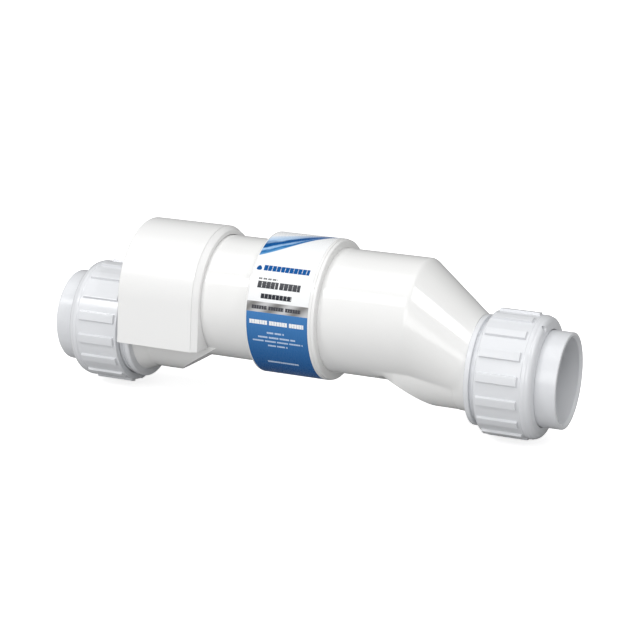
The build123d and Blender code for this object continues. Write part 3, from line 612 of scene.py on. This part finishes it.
class CELL_OT_finishes(bpy.types.Operator):
    """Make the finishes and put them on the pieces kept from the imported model"""
    bl_idname = "cell.finishes"
    bl_label = "Finishes"

    def execute(self, context):
        colours = context.scene.cell_colours
        make_moulded_grain()
        make_drawn_metal()
        make_expanded_mesh()
        make_printed_bar()
        finishes = {
            "housing_pvc": moulded("housing_pvc", colours.housing, 0.13, depth=0.012),
            "hood_plastic": moulded("hood_plastic", colours.hood, 0.24, depth=0.014),
            "union_pvc": moulded("union_pvc", colours.union, 0.2, drift=0.02, depth=0.015, Coat_Weight=0.2,
                                 Coat_Roughness=0.1),
            "printed_label": printed_label_finish(colours),
            "seal_rubber": moulded("seal_rubber", colours.rubber, 0.62, drift=0.4, depth=0.15),
            # The near-black opening colours given to the titanium sheets are painted shade
            "coated_titanium": expanded_sheet("coated_titanium", 0.35, (0.012, 0.012, 0.012), "moulded_grain",
                                              Tint=(0.085, 0.08, 0.078), Gloss=0.62, Drift=0.5),
            "bare_titanium": metal("bare_titanium", (0.42, 0.40, 0.385), (0.36, 0.31, 0.26), 0.22,
                                   (80.0, 2600.0, 2600.0)),
            "stainless_steel": metal("stainless_steel", (0.6, 0.6, 0.59), (0.52, 0.51, 0.5), 0.16,
                                     (900.0, 900.0, 900.0)),
            "inner_plastic": moulded("inner_plastic", (0.62, 0.63, 0.62), 0.5, drift=0.08, depth=0.08),
            "board_plastic": moulded("board_plastic", (0.018, 0.02, 0.023), 0.45, drift=0.5, depth=0.12),
            "gland_plastic": moulded("gland_plastic", (0.30, 0.31, 0.32), 0.42, drift=0.08, depth=0.1),
        }
        # The opening colour given here is painted shade
        bare_sheet = expanded_sheet("bare_titanium_mesh", 0.9, (0.05, 0.05, 0.05), "drawn_metal",
                                    Tint=(0.36, 0.345, 0.33), Warm=(0.33, 0.29, 0.24), Gloss=0.34,
                                    Stretch=(200.0, 200.0, 3000.0))
        for entry in frame["record"]["subparts"]:
            node = frame["nodes"][entry["node"]]
            finish = finishes[entry["material_slot"]]
            if entry["node"].startswith("cathode_plate"):
                finish = bare_sheet
            node.data.materials.clear()
            node.data.materials.append(finish)
        return {"FINISHED"}


class CELL_OT_tailpieces(bpy.types.Operator):
    """Slip sockets with a rounded rim, a lead-in chamfer, the pipe stop and the flange"""
    bl_idname = "cell.tailpieces"
    bl_label = "Tailpieces"

    def execute(self, context):
        socket_r, tail_r, stop = 30.25, 34.2, 29.4
        flange_back = TAIL_LENGTH - 10.8
        section = outline([
            (0.0, socket_r + 1.7, 0.5), (0.0, tail_r, 1.0), (flange_back, tail_r, 0.6),
            (flange_back, FLANGE_R, 0.6), (TAIL_LENGTH, FLANGE_R, 0.6), (TAIL_LENGTH, BORE_R, 0.5),
            (stop, BORE_R, 0.5), (stop, socket_r, 0.4), (1.7, socket_r, 0.5),
        ])
        angles = full_turn(192)
        points = turned(section[None, :, 0], section[None, :, 1], angles)
        for end in ("inlet", "outlet"):
            add_piece(end + "_tailpiece", at_end(points, end), end + "_tail", "union_pvc")
        return {"FINISHED"}


class CELL_OT_union_nuts(bpy.types.Operator):
    """Ribbed union nuts with a rounded shoulder, spanner dimples and a thread inside"""
    bl_idname = "cell.union_nuts"
    bl_label = "Union nuts"

    def execute(self, context):
        sizes = context.scene.cell_sizes
        count = sizes.rib_count
        width, height, edge = sizes.rib_width / MM, sizes.rib_height / MM, sizes.rib_edge / MM
        pitch, depth = sizes.thread_pitch / MM, sizes.thread_depth / MM
        nut_r, bore_r, hole_r = 43.3, 38.4, 34.6
        rib_start, rib_end = NUT_FACE + 8.9, NUT_OPEN - 1.6
        rib_stations = np.concatenate([
            NUT_FACE + np.array([4.6, 5.5, 6.4, 6.6, 6.8, 6.95, 7.1, 7.3, 7.5, 8.0]),
            rib_start + edge * np.array([-1.6, -0.8, -0.3, 0.0, 0.25, 0.5, 0.75, 1.0, 1.4, 2.4, 6.0]),
            np.linspace(rib_start + 8, rib_end - 8, 5),
            rib_end - edge * np.array([-1.2, -0.3, 0.0, 0.25, 0.5, 0.75, 1.0, 1.4, 2.4, 6.0]),
        ])
        bore_stations = np.arange(NUT_FACE + 8, NUT_OPEN - 1.0, pitch / 10)
        face_stations = NUT_FACE - 0.9 + (np.arange(36.4, 39.2, 0.35) - hole_r) / (nut_r - hole_r)
        section = outline([
            (NUT_FACE - 0.9, hole_r, 0.6), (NUT_FACE + 0.1, nut_r, sizes.shoulder / MM), (NUT_OPEN, nut_r, 0.9),
            (NUT_OPEN, bore_r, 0.6), (NUT_FACE + 6.3, bore_r, 0.5), (NUT_FACE + 6.3, hole_r, 0.4),
        ], extra={0: face_stations, 1: rib_stations, 3: bore_stations})
        beside_edge = edge * np.array([-1.6, -0.6, -0.4, -0.2, 0.0, 0.2, 0.4, 0.6, 1.6])
        between = [-8.4, -6.0, -0.8, 0.8, 6.0]
        offsets = np.concatenate([beside_edge - width / 2, beside_edge + width / 2, between]) / nut_r
        dimple_angles = radians(112.0) + np.array([0, np.pi])
        near_dimple = dimple_angles[:, None] + np.linspace(-2.9, 2.9, 25) / nut_r
        along, radius = section[None, :, 0], section[None, :, 1]

        lengthwise = smooth(along, rib_start, rib_start + edge) * (1 - smooth(along, rib_end - edge, rib_end))
        outside = radius > nut_r - 0.5
        # Shoulder bead: the shoulder stands a little over the barrel and steps down ahead of the ribs
        bead = 0.5 * outside * smooth(along, NUT_FACE + 3.4, NUT_FACE + 4.4)
        bead = bead * (1 - smooth(along, NUT_FACE + 6.6, NUT_FACE + 7.3))
        pit_r = nut_r - 2.6
        for end, first_rib in (("inlet", 9.8), ("outlet", 15.9)):
            # Rib height: an eased step across each rib times an eased step along it
            rib_angles = radians(first_rib) + np.arange(count) * 2 * np.pi / count
            angles = np.concatenate([(rib_angles[:, None] + offsets).ravel(), near_dimple.ravel()])
            angles = np.unique(np.round(angles % (2 * np.pi), 4))[:, None]
            beside = nut_r * np.min(np.abs(wrap(angles[..., None] - rib_angles)), axis=-1)
            across = 1 - smooth(beside, (width - edge) / 2, (width + edge) / 2)
            rise = bead + height * across * lengthwise * outside * (along > rib_start - 2)
            # Spanner dimples: a round pit in the shoulder, eased at its rim
            apart = np.min(np.hypot(radius[..., None] * wrap(angles[..., None] - dimple_angles),
                                    radius[..., None] - pit_r), axis=-1)
            pit = 2.8 * (1 - smooth(apart, 1.7, 2.2)) * (along < NUT_FACE + 5)
            wave = 1 - thread_wave(along, angles, end, pitch)
            inside = (np.abs(radius - bore_r) < 0.05) & (along > NUT_FACE + 7)
            fade = smooth(along, NUT_FACE + 8, NUT_FACE + 11) * (1 - smooth(along, NUT_OPEN - 3, NUT_OPEN - 1))
            points = turned(along + pit, radius + rise + 0.8 * depth * wave * inside * fade, angles)
            add_piece(end + "_union_nut", at_end(points, end), end + "_nut", "union_pvc")
        return {"FINISHED"}


class CELL_OT_union_ends(bpy.types.Operator):
    """Threaded union ends with the seal groove, the relief and the rounded collar"""
    bl_idname = "cell.union_ends"
    bl_label = "Union ends"

    def execute(self, context):
        sizes = context.scene.cell_sizes
        pitch, depth = sizes.thread_pitch / MM, sizes.thread_depth / MM
        thread_r, joint_r = COLLAR_R - 1.5, 30.3
        collar = COLLAR_END - 4.0
        relief = collar - 2.9
        groove = (29.9, 33.6)
        section = outline([
            (UNION_FACE, BORE_R, 0.4), (UNION_FACE, groove[0], 0.15), (UNION_FACE + 3.55, groove[0], 0.4),
            (UNION_FACE + 3.55, groove[1], 0.4), (UNION_FACE, groove[1], 0.15), (UNION_FACE, thread_r, 0.9),
            (relief, thread_r, 0.3), (relief, thread_r - 0.8, 0.2), (collar, thread_r - 0.8, 0.3),
            (collar, COLLAR_R, 0.7), (COLLAR_END, COLLAR_R, 1.1), (COLLAR_END, joint_r, 0.2),
            (COLLAR_END - 26.1, joint_r, 0.2), (COLLAR_END - 26.1, BORE_R, 0.3),
        ], extra={5: np.arange(UNION_FACE + 1.4, relief - 0.6, pitch / 12)})
        angles = full_turn(224)
        along, radius = section[None, :, 0], section[None, :, 1]
        for end in ("inlet", "outlet"):
            groove_share = 1 - thread_wave(along, angles, end, pitch)
            on_thread = (np.abs(radius - thread_r) < 0.05) & (along < relief - 0.3)
            fade = smooth(along, UNION_FACE + 1, UNION_FACE + 3) * (1 - smooth(along, relief - 4, relief - 1))
            points = turned(along, radius - depth * groove_share * on_thread * fade, angles)
            add_piece(end + "_union_end", at_end(points, end), "cell", "union_pvc")
        return {"FINISHED"}


def housing_reach(along, angles, wall, sizes, start_z=8.0):
    """Distance of the outlet housing's skin from (0, start_z) at each station and angle.

    The skin is the larger of a circle that slides and shrinks from the chamber to the port, and the
    port's circle cut off below by the ramp. A flare is added beside the union. Each crossing is soft.
    """
    port_r = BORE_R if wall else PORT_R
    inset = BODY_WALL if wall else 0.0
    body_r, cone_end_r = BODY_R - inset, PORT_R - inset
    crease = sizes.crease / MM
    cone_length = CONE_END - CONE_START
    share = soft_min((along - CONE_START) / cone_length, 1.0, sizes.hinge / MM / cone_length)
    cone = circle_reach(AXIS_Z * share, cone_end_r + (body_r - cone_end_r) * share, angles, start_z)
    port = circle_reach(0.0, port_r, angles, start_z)
    foot = RAMP_FOOT - (1.17 if wall else 0.0)
    ramp_z = -port_r + np.maximum(along - foot, 0.0) * np.tan(RAMP_SLOPE)
    down = np.minimum(np.sin(angles), -1e-3)
    ramp = np.where((along > foot) & (ramp_z < start_z - 1), (start_z - ramp_z) / -down, 500.0)
    ramp = np.where(np.sin(angles) < 0, ramp, 500.0)
    cut_port = soft_min(port, ramp, crease)
    gone = along > 125.0
    reach = np.where(gone, cone, soft_max(cone, np.where(gone, cone, cut_port), crease))
    if not wall:
        hub = np.clip((COLLAR_END + sizes.hub_length / MM - along) / (sizes.hub_length / MM), 0.0, 1.0)
        flare = circle_reach(0.0, PORT_R + sizes.hub_rise / MM * hub ** 2.2, angles, start_z)
        reach = np.where(along < COLLAR_END + sizes.hub_length / MM, soft_max(reach, flare, 1.5), reach)
        reach = np.where(along < COLLAR_END + 0.01, circle_reach(0.0, PORT_R, angles, start_z), reach)
    else:
        reach = np.where(along < 64.5, circle_reach(0.0, BORE_R, angles, start_z), reach)
    return reach


class CELL_OT_outlet_housing(bpy.types.Operator):
    """Outlet half of the chamber with the sloped reducer, the scoop under it and the flared port"""
    bl_idname = "cell.outlet_housing"
    bl_label = "Outlet housing"

    def execute(self, context):
        sizes = context.scene.cell_sizes
        far = OUTLET_MOUTH - HOUSING_LEFT
        near = SPIGOT_END
        outer = np.concatenate([
            [near, near + 0.1, near + 12, COLLAR_END - 0.1, COLLAR_END], [COLLAR_END + 0.05],
            np.arange(COLLAR_END + 0.5, COLLAR_END + 14, 0.6), np.arange(79.0, 88.0, 1.5),
            np.arange(88.0, 119.0, 0.6), np.arange(120.0, far - 1, 9.0), [far - 0.1, far],
        ])
        inner = np.concatenate([
            [far, far - 0.1], np.arange(far - 1, 120.0, -12.0), np.arange(119.0, 88.0, -1.2),
            np.arange(87.0, 64.0, -3.0), [near + 12, near + 0.1, near],
        ])
        angles = full_turn(400)
        start_z = 8.0
        reach = np.concatenate([housing_reach(outer[None, :], angles, False, sizes),
                                housing_reach(inner[None, :], angles, True, sizes)], axis=1)
        along = np.concatenate([outer, inner])[None, :]
        points = turned(along, reach, angles, start_z)
        add_piece("outlet_housing", at_end(points, "outlet"), "cell", "housing_pvc", sharp=50.0)
        return {"FINISHED"}


class CELL_OT_centre_band(bpy.types.Operator):
    """Coupling sleeve with rounded rims and the label's recess"""
    bl_idname = "cell.centre_band"
    bl_label = "Centre band"

    def execute(self, context):
        middle = (BAND_LEFT + BAND_RIGHT) / 2
        left, right = LABEL_LEFT - 0.1, LABEL_RIGHT + 0.1
        floor_r = BAND_R - 0.3
        section = outline([
            (BAND_LEFT, BODY_R + 0.02, 0.2), (BAND_LEFT, BAND_R, 1.1), (left, BAND_R, 0.12),
            (left, floor_r, 0.1), (right, floor_r, 0.1), (right, BAND_R, 0.15),
            (BAND_RIGHT - 2.6, BAND_R, 0.25), (BAND_RIGHT - 2.5, BAND_R - 0.45, 0.15),
            (BAND_RIGHT, BAND_R - 0.45, 1.2), (BAND_RIGHT, BODY_R + 0.02, 0.2),
            (middle + 1.45, BODY_R + 0.02, 0.2), (middle + 1.45, BODY_R - 4.0, 0.3),
            (middle - 1.45, BODY_R - 4.0, 0.3), (middle - 1.45, BODY_R + 0.02, 0.2),
        ], guard=0.1)
        angles = full_turn(288)
        points = turned(section[None, :, 0], section[None, :, 1], angles, AXIS_Z)
        add_piece("centre_band", points, "cell", "housing_pvc")
        return {"FINISHED"}


class CELL_OT_label(bpy.types.Operator):
    """Thin printed film bent round the front of the band, with its own flat coordinates"""
    bl_idname = "cell.label"
    bl_label = "Label"

    def execute(self, context):
        top_r, base_r = LABEL_R, LABEL_R - 0.24
        section = outline([
            (LABEL_LEFT, base_r, 0.02), (LABEL_LEFT, top_r, 0.08), (LABEL_RIGHT, top_r, 0.08),
            (LABEL_RIGHT, base_r, 0.02),
        ], extra={1: np.linspace(LABEL_LEFT, LABEL_RIGHT, 9)[1:-1]}, arc_steps=3)
        degrees_round = np.linspace(LABEL_TOP, LABEL_FOOT, 206)[:, None]
        points = turned(section[None, :, 0], section[None, :, 1], degrees_round * DEGREE, AXIS_Z)
        rows, columns = points.shape[:2]
        flat = stacked((section[None, :, 0] - LABEL_LEFT) / 100.0, degrees_round / 1000.0)
        caps = [np.arange(columns).tolist(), (np.arange(columns) + (rows - 1) * columns).tolist()]
        add_piece("label", points, "cell", "printed_label", grid_faces(rows, columns, close_rows=False),
                  caps=caps, uv=flat, ending="_film")
        return {"FINISHED"}


class CELL_OT_hood(bpy.types.Operator):
    """Terminal hood: a round-topped shell with straight skirts, two end walls and four screw bosses"""
    bl_idname = "cell.hood"
    bl_label = "Terminal hood"

    def execute(self, context):
        wall = 2.75
        inner_r = HOOD_R - wall
        corner = 1.0
        chamfer_x, chamfer_r = 4.5, 3.0
        skirt = np.concatenate([[HOOD_FLOOR, HOOD_FLOOR + 0.1], np.linspace(HOOD_FLOOR + 1.5, AXIS_Z, 16)])
        turn = np.linspace(0, np.pi, 129)[1:-1]
        # Path round the arch: a side of -1 to 1, a height up the skirt, then an angle over the top
        still, upright = np.zeros(len(skirt)), np.ones(len(skirt))
        side = np.concatenate([-upright, -np.cos(turn), upright])
        lift = np.concatenate([still, np.sin(turn), still])
        base_z = np.concatenate([skirt, np.full(len(turn), AXIS_Z), skirt[::-1]])
        on_arch = np.concatenate([still, np.ones(len(turn)), still]) > 0.5
        port_hole_r = COLLAR_R + 0.5
        body_hole_r = BODY_R + 0.3
        angle = np.arctan2(lift, side)
        left_hole = np.where(on_arch, circle_reach(0.0, port_hole_r, angle, AXIS_Z),
                             np.sqrt(np.maximum(port_hole_r ** 2 - base_z ** 2, 1.0)))
        under = np.sqrt(np.maximum(body_hole_r ** 2 - (base_z - AXIS_Z) ** 2, 0.0))
        port_side = np.sqrt(np.maximum(30.55 ** 2 - base_z ** 2, 0.0))
        right_hole = np.where(on_arch, body_hole_r, np.maximum(under, port_side))

        # Section from the left hole, round the outside, to the right hole and back inside.
        # Each entry is (along X, distance out); a share of 1 holds the distance, 0 follows the hole.
        quarter = np.linspace(0, np.pi / 2, 7)
        left_rim = np.column_stack([HOOD_LEFT + corner * (1 - np.sin(quarter)),
                                    HOOD_R - corner * (1 - np.cos(quarter))])[::-1]
        knee = np.array([HOOD_RIGHT - chamfer_x, HOOD_R])
        step = knee + np.array([0.0, -0.5])
        foot = np.array([HOOD_RIGHT, HOOD_R - chamfer_r])
        slope = (foot - step) / np.linalg.norm(foot - step)
        ease = np.linspace(0, 1, 5)[:, None]
        def bend(at, coming, going, size):
            """Quadratic curve round a corner between two directions."""
            p0, p2 = at - coming * size, at + going * size
            return (1 - ease) ** 2 * p0 + 2 * ease * (1 - ease) * at + ease ** 2 * p2
        onward, inward = np.array([1.0, 0.0]), np.array([0.0, -1.0])
        right_rim = np.concatenate([
            bend(knee, onward, inward, 0.25), bend(step, inward, slope, 0.15),
            [(step + foot) / 2], bend(foot, slope, inward, 0.45),
        ])
        top_run = np.linspace(HOOD_LEFT + corner + 0.15, HOOD_RIGHT - chamfer_x - 1.0, 8)
        middle = np.column_stack([top_run, np.full(len(top_run), HOOD_R)])
        back = np.array([[HOOD_RIGHT - wall, inner_r - 0.3], [HOOD_RIGHT - wall - 0.3, inner_r],
                         [HOOD_LEFT + wall + 0.3, inner_r], [HOOD_LEFT + wall, inner_r - 0.3]])
        out = np.concatenate([left_rim, middle, right_rim])
        x_out = np.broadcast_to(out[None, :, 0], (len(side), len(out)))
        d_out = np.broadcast_to(out[None, :, 1], (len(side), len(out)))
        x_back = np.broadcast_to(back[None, :, 0], (len(side), len(back)))
        d_back = np.broadcast_to(back[None, :, 1], (len(side), len(back)))

        def web(x, hole, edge, shares):
            """Wall between its hole and the skin at one station."""
            share = np.asarray(shares)[None, :]
            return np.full((len(side), share.shape[1]), x), hole[:, None] + (edge - hole[:, None]) * share
        outward = [0.0, 0.01, 0.5, 0.97]
        parts = [
            web(HOOD_LEFT + 0.2, left_hole, HOOD_R - corner, [0.0]),
            web(HOOD_LEFT, left_hole + 0.2, HOOD_R - corner, outward), (x_out, d_out),
            web(HOOD_RIGHT, right_hole + 0.25, HOOD_R - chamfer_r - 0.8, outward[::-1]),
            web(HOOD_RIGHT - 0.25, right_hole, HOOD_R - chamfer_r, [0.0]),
            web(HOOD_RIGHT - wall, right_hole, inner_r - 0.3, [0.0, 0.05, 0.9]),
            (x_back, d_back),
            web(HOOD_LEFT + wall, left_hole, inner_r - 0.3, [0.9, 0.5, 0.02, 0.0]),
        ]
        x = np.concatenate([p[0] for p in parts], axis=1)
        distance = np.concatenate([p[1] for p in parts], axis=1)
        points = np.stack([x, side[:, None] * distance, base_z[:, None] + lift[:, None] * distance], axis=-1)
        rows, columns = points.shape[:2]
        faces = [grid_faces(rows, columns, close_rows=False)]
        caps = [np.arange(columns).tolist(), (np.arange(columns) + (rows - 1) * columns).tolist()]
        cloud = [points.reshape(-1, 3)]

        # Bosses: short tubes up from the base strips, beside the skirts
        foot_z = high("front_hood_base", 2)
        boss_top, boss_r, pilot_r = foot_z + 11.0, 3.6, 1.45
        ring = outline([(foot_z, pilot_r, 0.1), (foot_z, boss_r, 0.2), (boss_top, boss_r, 0.4),
                        (boss_top, pilot_r, 0.2)], guard=0.3)
        round_it = full_turn(32)
        for boss_x in (HOOD_LEFT + wall + 4.5, HOOD_RIGHT - wall - 4.5):
            for boss_side in (-1, 1):
                boss_y = boss_side * (inner_r - 3.55)
                tube = stacked(boss_x + ring[None, :, 1] * np.cos(round_it),
                               boss_y + ring[None, :, 1] * np.sin(round_it), ring[None, :, 0])
                faces.append(grid_faces(*tube.shape[:2], first=sum(len(c) for c in cloud)))
                cloud.append(tube.reshape(-1, 3))
        add_piece("terminal_hood", np.concatenate(cloud), "cell", "hood_plastic", np.concatenate(faces),
                  caps=caps)
        return {"FINISHED"}


class CELL_OT_gland_nut(bpy.types.Operator):
    """Domed clamping nut of the cord gland, with a fluted grip"""
    bl_idname = "cell.gland_nut"
    bl_label = "Gland nut"

    def execute(self, context):
        lo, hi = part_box("gland_nut")
        centre_x, centre_z = (lo[0] + hi[0]) / 2 / MM, (lo[2] + hi[2]) / 2 / MM
        start, end = lo[1] / MM, hi[1] / MM
        outer_r = (hi[0] - lo[0]) / 2 / MM
        neck_r, hole_r, sleeve_r = 9.3, 5.5, 7.2
        section = outline([
            (start, neck_r, 0.2), (start, outer_r, 0.5), (end, outer_r, 3.2), (end, hole_r, 0.5),
            (end - 3.0, hole_r, 0.2), (end - 3.0, sleeve_r, 0.2), (end - 7.5, sleeve_r, 0.2),
            (end - 7.5, neck_r, 0.2),
        ], extra={1: np.linspace(start + 0.6, end - 3.3, 9)}, guard=0.2)
        angles = full_turn(288)
        along, radius = section[None, :, 0], section[None, :, 1]
        # Flutes: a raised cosine round the grip, faded out before the dome
        flute = np.clip(np.cos(12 * angles) * 1.6, -1, 1) * 0.5 + 0.5
        grip = smooth(along, start + 0.5, start + 1.5) * (1 - smooth(along, end - 6.0, end - 4.0))
        radius = radius - 0.9 * flute * grip * (radius > outer_r - 1.2)
        points = stacked(centre_x + radius * np.cos(angles), along, centre_z + radius * np.sin(angles))
        add_piece("gland_nut", points, "gland_clamp", "gland_plastic")
        return {"FINISHED"}


def placement(x_axis, y_axis, z_axis, origin):
    """Matrix that stands an object at an origin with its axes along three directions."""
    return Matrix([[x_axis[i], y_axis[i], z_axis[i], origin[i]] for i in range(3)] + [[0, 0, 0, 1]])


class CELL_OT_studio(bpy.types.Operator):
    """Pale sweep of floor and backdrop, soft lights and the camera"""
    bl_idname = "cell.studio"
    bl_label = "Studio"

    def execute(self, context):
        scene = context.scene
        scene.view_settings.view_transform = "Standard"
        floor_z = CAD_BOX[0][2] - 0.004

        # Sweep: flat, then nearly a quarter circle, then upright, carried along X
        bend_r, flat_end, wall_y = 1.2, 2.2, 3.4
        rise = np.linspace(0.1, np.pi / 2, 14)
        run = np.concatenate([
            np.column_stack([np.linspace(-4.0, flat_end, 12), np.zeros(12)]),
            np.column_stack([flat_end + bend_r * np.sin(rise), bend_r - bend_r * np.cos(rise)]),
            [[wall_y, 2.0], [wall_y, 4.0]],
        ])
        across = np.linspace(-5.0, 5.5, 12)
        points = stacked(across[:, None], run[None, :, 0], floor_z + run[None, :, 1])
        mesh = bpy.data.meshes.new("studio_sweep")
        mesh.from_pydata(points.reshape(-1, 3).tolist(), [],
                         grid_faces(*points.shape[:2], close_rows=False, close_columns=False)[:, ::-1].tolist())
        mesh.polygons.foreach_set("use_smooth", np.ones(len(mesh.polygons), dtype=bool))
        sweep = bpy.data.objects.new("studio_sweep", mesh)
        scene.collection.objects.link(sweep)
        finish, tree, shader = new_finish("studio_paper", Roughness=0.9, Emission_Strength=0.75)
        place = put(tree, "ShaderNodeTexCoord").outputs["Object"]
        fibre = noise(tree, place, 90.0, 4.0)
        paper = blend(tree, calc(tree, "MULTIPLY", fibre, 0.2), (0.93, 0.93, 0.93), (0.90, 0.90, 0.90))
        seen = put(tree, "ShaderNodeLightPath").outputs["Is Camera Ray"]
        tree.links.new(blend(tree, seen, (0.50, 0.50, 0.50), paper), shader.inputs["Base Color"])
        tree.links.new(blend(tree, seen, (0.0, 0.0, 0.0), (1.0, 1.0, 1.0)), shader.inputs["Emission Color"])
        mesh.materials.append(finish)

        world = bpy.data.worlds.new("studio_air")
        world.use_nodes = True
        air = world.node_tree
        sky = air.nodes["Background"]
        sky.inputs["Color"].default_value = (1.0, 1.0, 1.0, 1.0)
        seen = put(air, "ShaderNodeLightPath").outputs["Is Camera Ray"]
        air.links.new(calc(air, "MULTIPLY_ADD", seen, 0.6, 0.4), sky.inputs["Strength"])
        scene.world = world

        for name, spot, aim, edge, size, power in (
            ("overhead", (0.05, -0.35, 1.5), (0.15, 0.0, 0.0), (1, 0, 0), (1.9, 1.1), 7.0),
            ("key", (-0.67, -1.39, 1.20), (0.1, 0.0, 0.02), (1, 0, 0), (0.55, 0.4), 9.8),
            ("front", (0.45, -1.9, 0.55), (0.15, 0.0, 0.0), (1, 0, 0), (1.5, 1.0), 13.2),
            ("strip", (1.165, -0.48, 1.11), (0.274, -0.031, 0.043), (0.015, -0.92, -0.387), (0.60, 0.07), 3.7),
        ):
            light = bpy.data.lights.new(name, "AREA")
            light.shape, light.size, light.size_y, light.energy = "RECTANGLE", size[0], size[1], power
            lamp = bpy.data.objects.new(name, light)
            back = np.array(spot) - np.array(aim)
            back /= np.linalg.norm(back)
            side = np.array(edge) - np.dot(edge, back) * back
            side /= np.linalg.norm(side)
            lamp.matrix_world = placement(side, np.cross(back, side), back, spot)
            scene.collection.objects.link(lamp)

        lens = bpy.data.cameras.new("camera")
        lens.sensor_width, lens.lens = 36.0, 108.88
        lens.clip_start, lens.clip_end = 0.05, 50.0
        right = np.array([0.91754, 0.39531, 0.04311])
        down = np.array([0.1214, -0.17523, -0.97701])
        ahead = np.array([-0.37867, 0.90168, -0.20877])
        spot = (0.70543, -1.27079, 0.31419)
        camera = bpy.data.objects.new("camera", lens)
        camera.matrix_world = placement(right, -down, -ahead, spot)
        scene.collection.objects.link(camera)
        scene.camera = camera
        return {"FINISHED"}


OPERATORS = (
    CELL_OT_finishes, CELL_OT_tailpieces, CELL_OT_union_nuts, CELL_OT_union_ends, CELL_OT_outlet_housing,
    CELL_OT_centre_band, CELL_OT_label, CELL_OT_hood, CELL_OT_gland_nut, CELL_OT_studio,
)


class CELL_PT_panel(bpy.types.Panel):
    """Lists the cell's pieces, sizes and colours"""
    bl_idname = "CELL_PT_panel"
    bl_label = "Chlorinator cell"
    bl_space_type = "VIEW_3D"
    bl_region_type = "UI"
    bl_category = "Cell"

    def draw(self, context):
        for operator in OPERATORS:
            self.layout.operator(operator.bl_idname)
        for group in (context.scene.cell_sizes, context.scene.cell_colours):
            box = self.layout.box()
            for name in group.bl_rna.properties.keys():
                if name not in {"rna_type", "name"}:
                    box.prop(group, name)


CLASSES = (CellSizes, CellColours, *OPERATORS, CELL_PT_panel)


def register():
    for cls in CLASSES:
        bpy.utils.register_class(cls)
    bpy.types.Scene.cell_sizes = PointerProperty(type=CellSizes)
    bpy.types.Scene.cell_colours = PointerProperty(type=CellColours)


def unregister():
    del bpy.types.Scene.cell_colours
    del bpy.types.Scene.cell_sizes
    for cls in reversed(CLASSES):
        bpy.utils.unregister_class(cls)


def main():
    register()
    for operator in OPERATORS:
        family, name = operator.bl_idname.split(".")
        getattr(getattr(bpy.ops, family), name)()


if __name__ == "__main__":
    main()
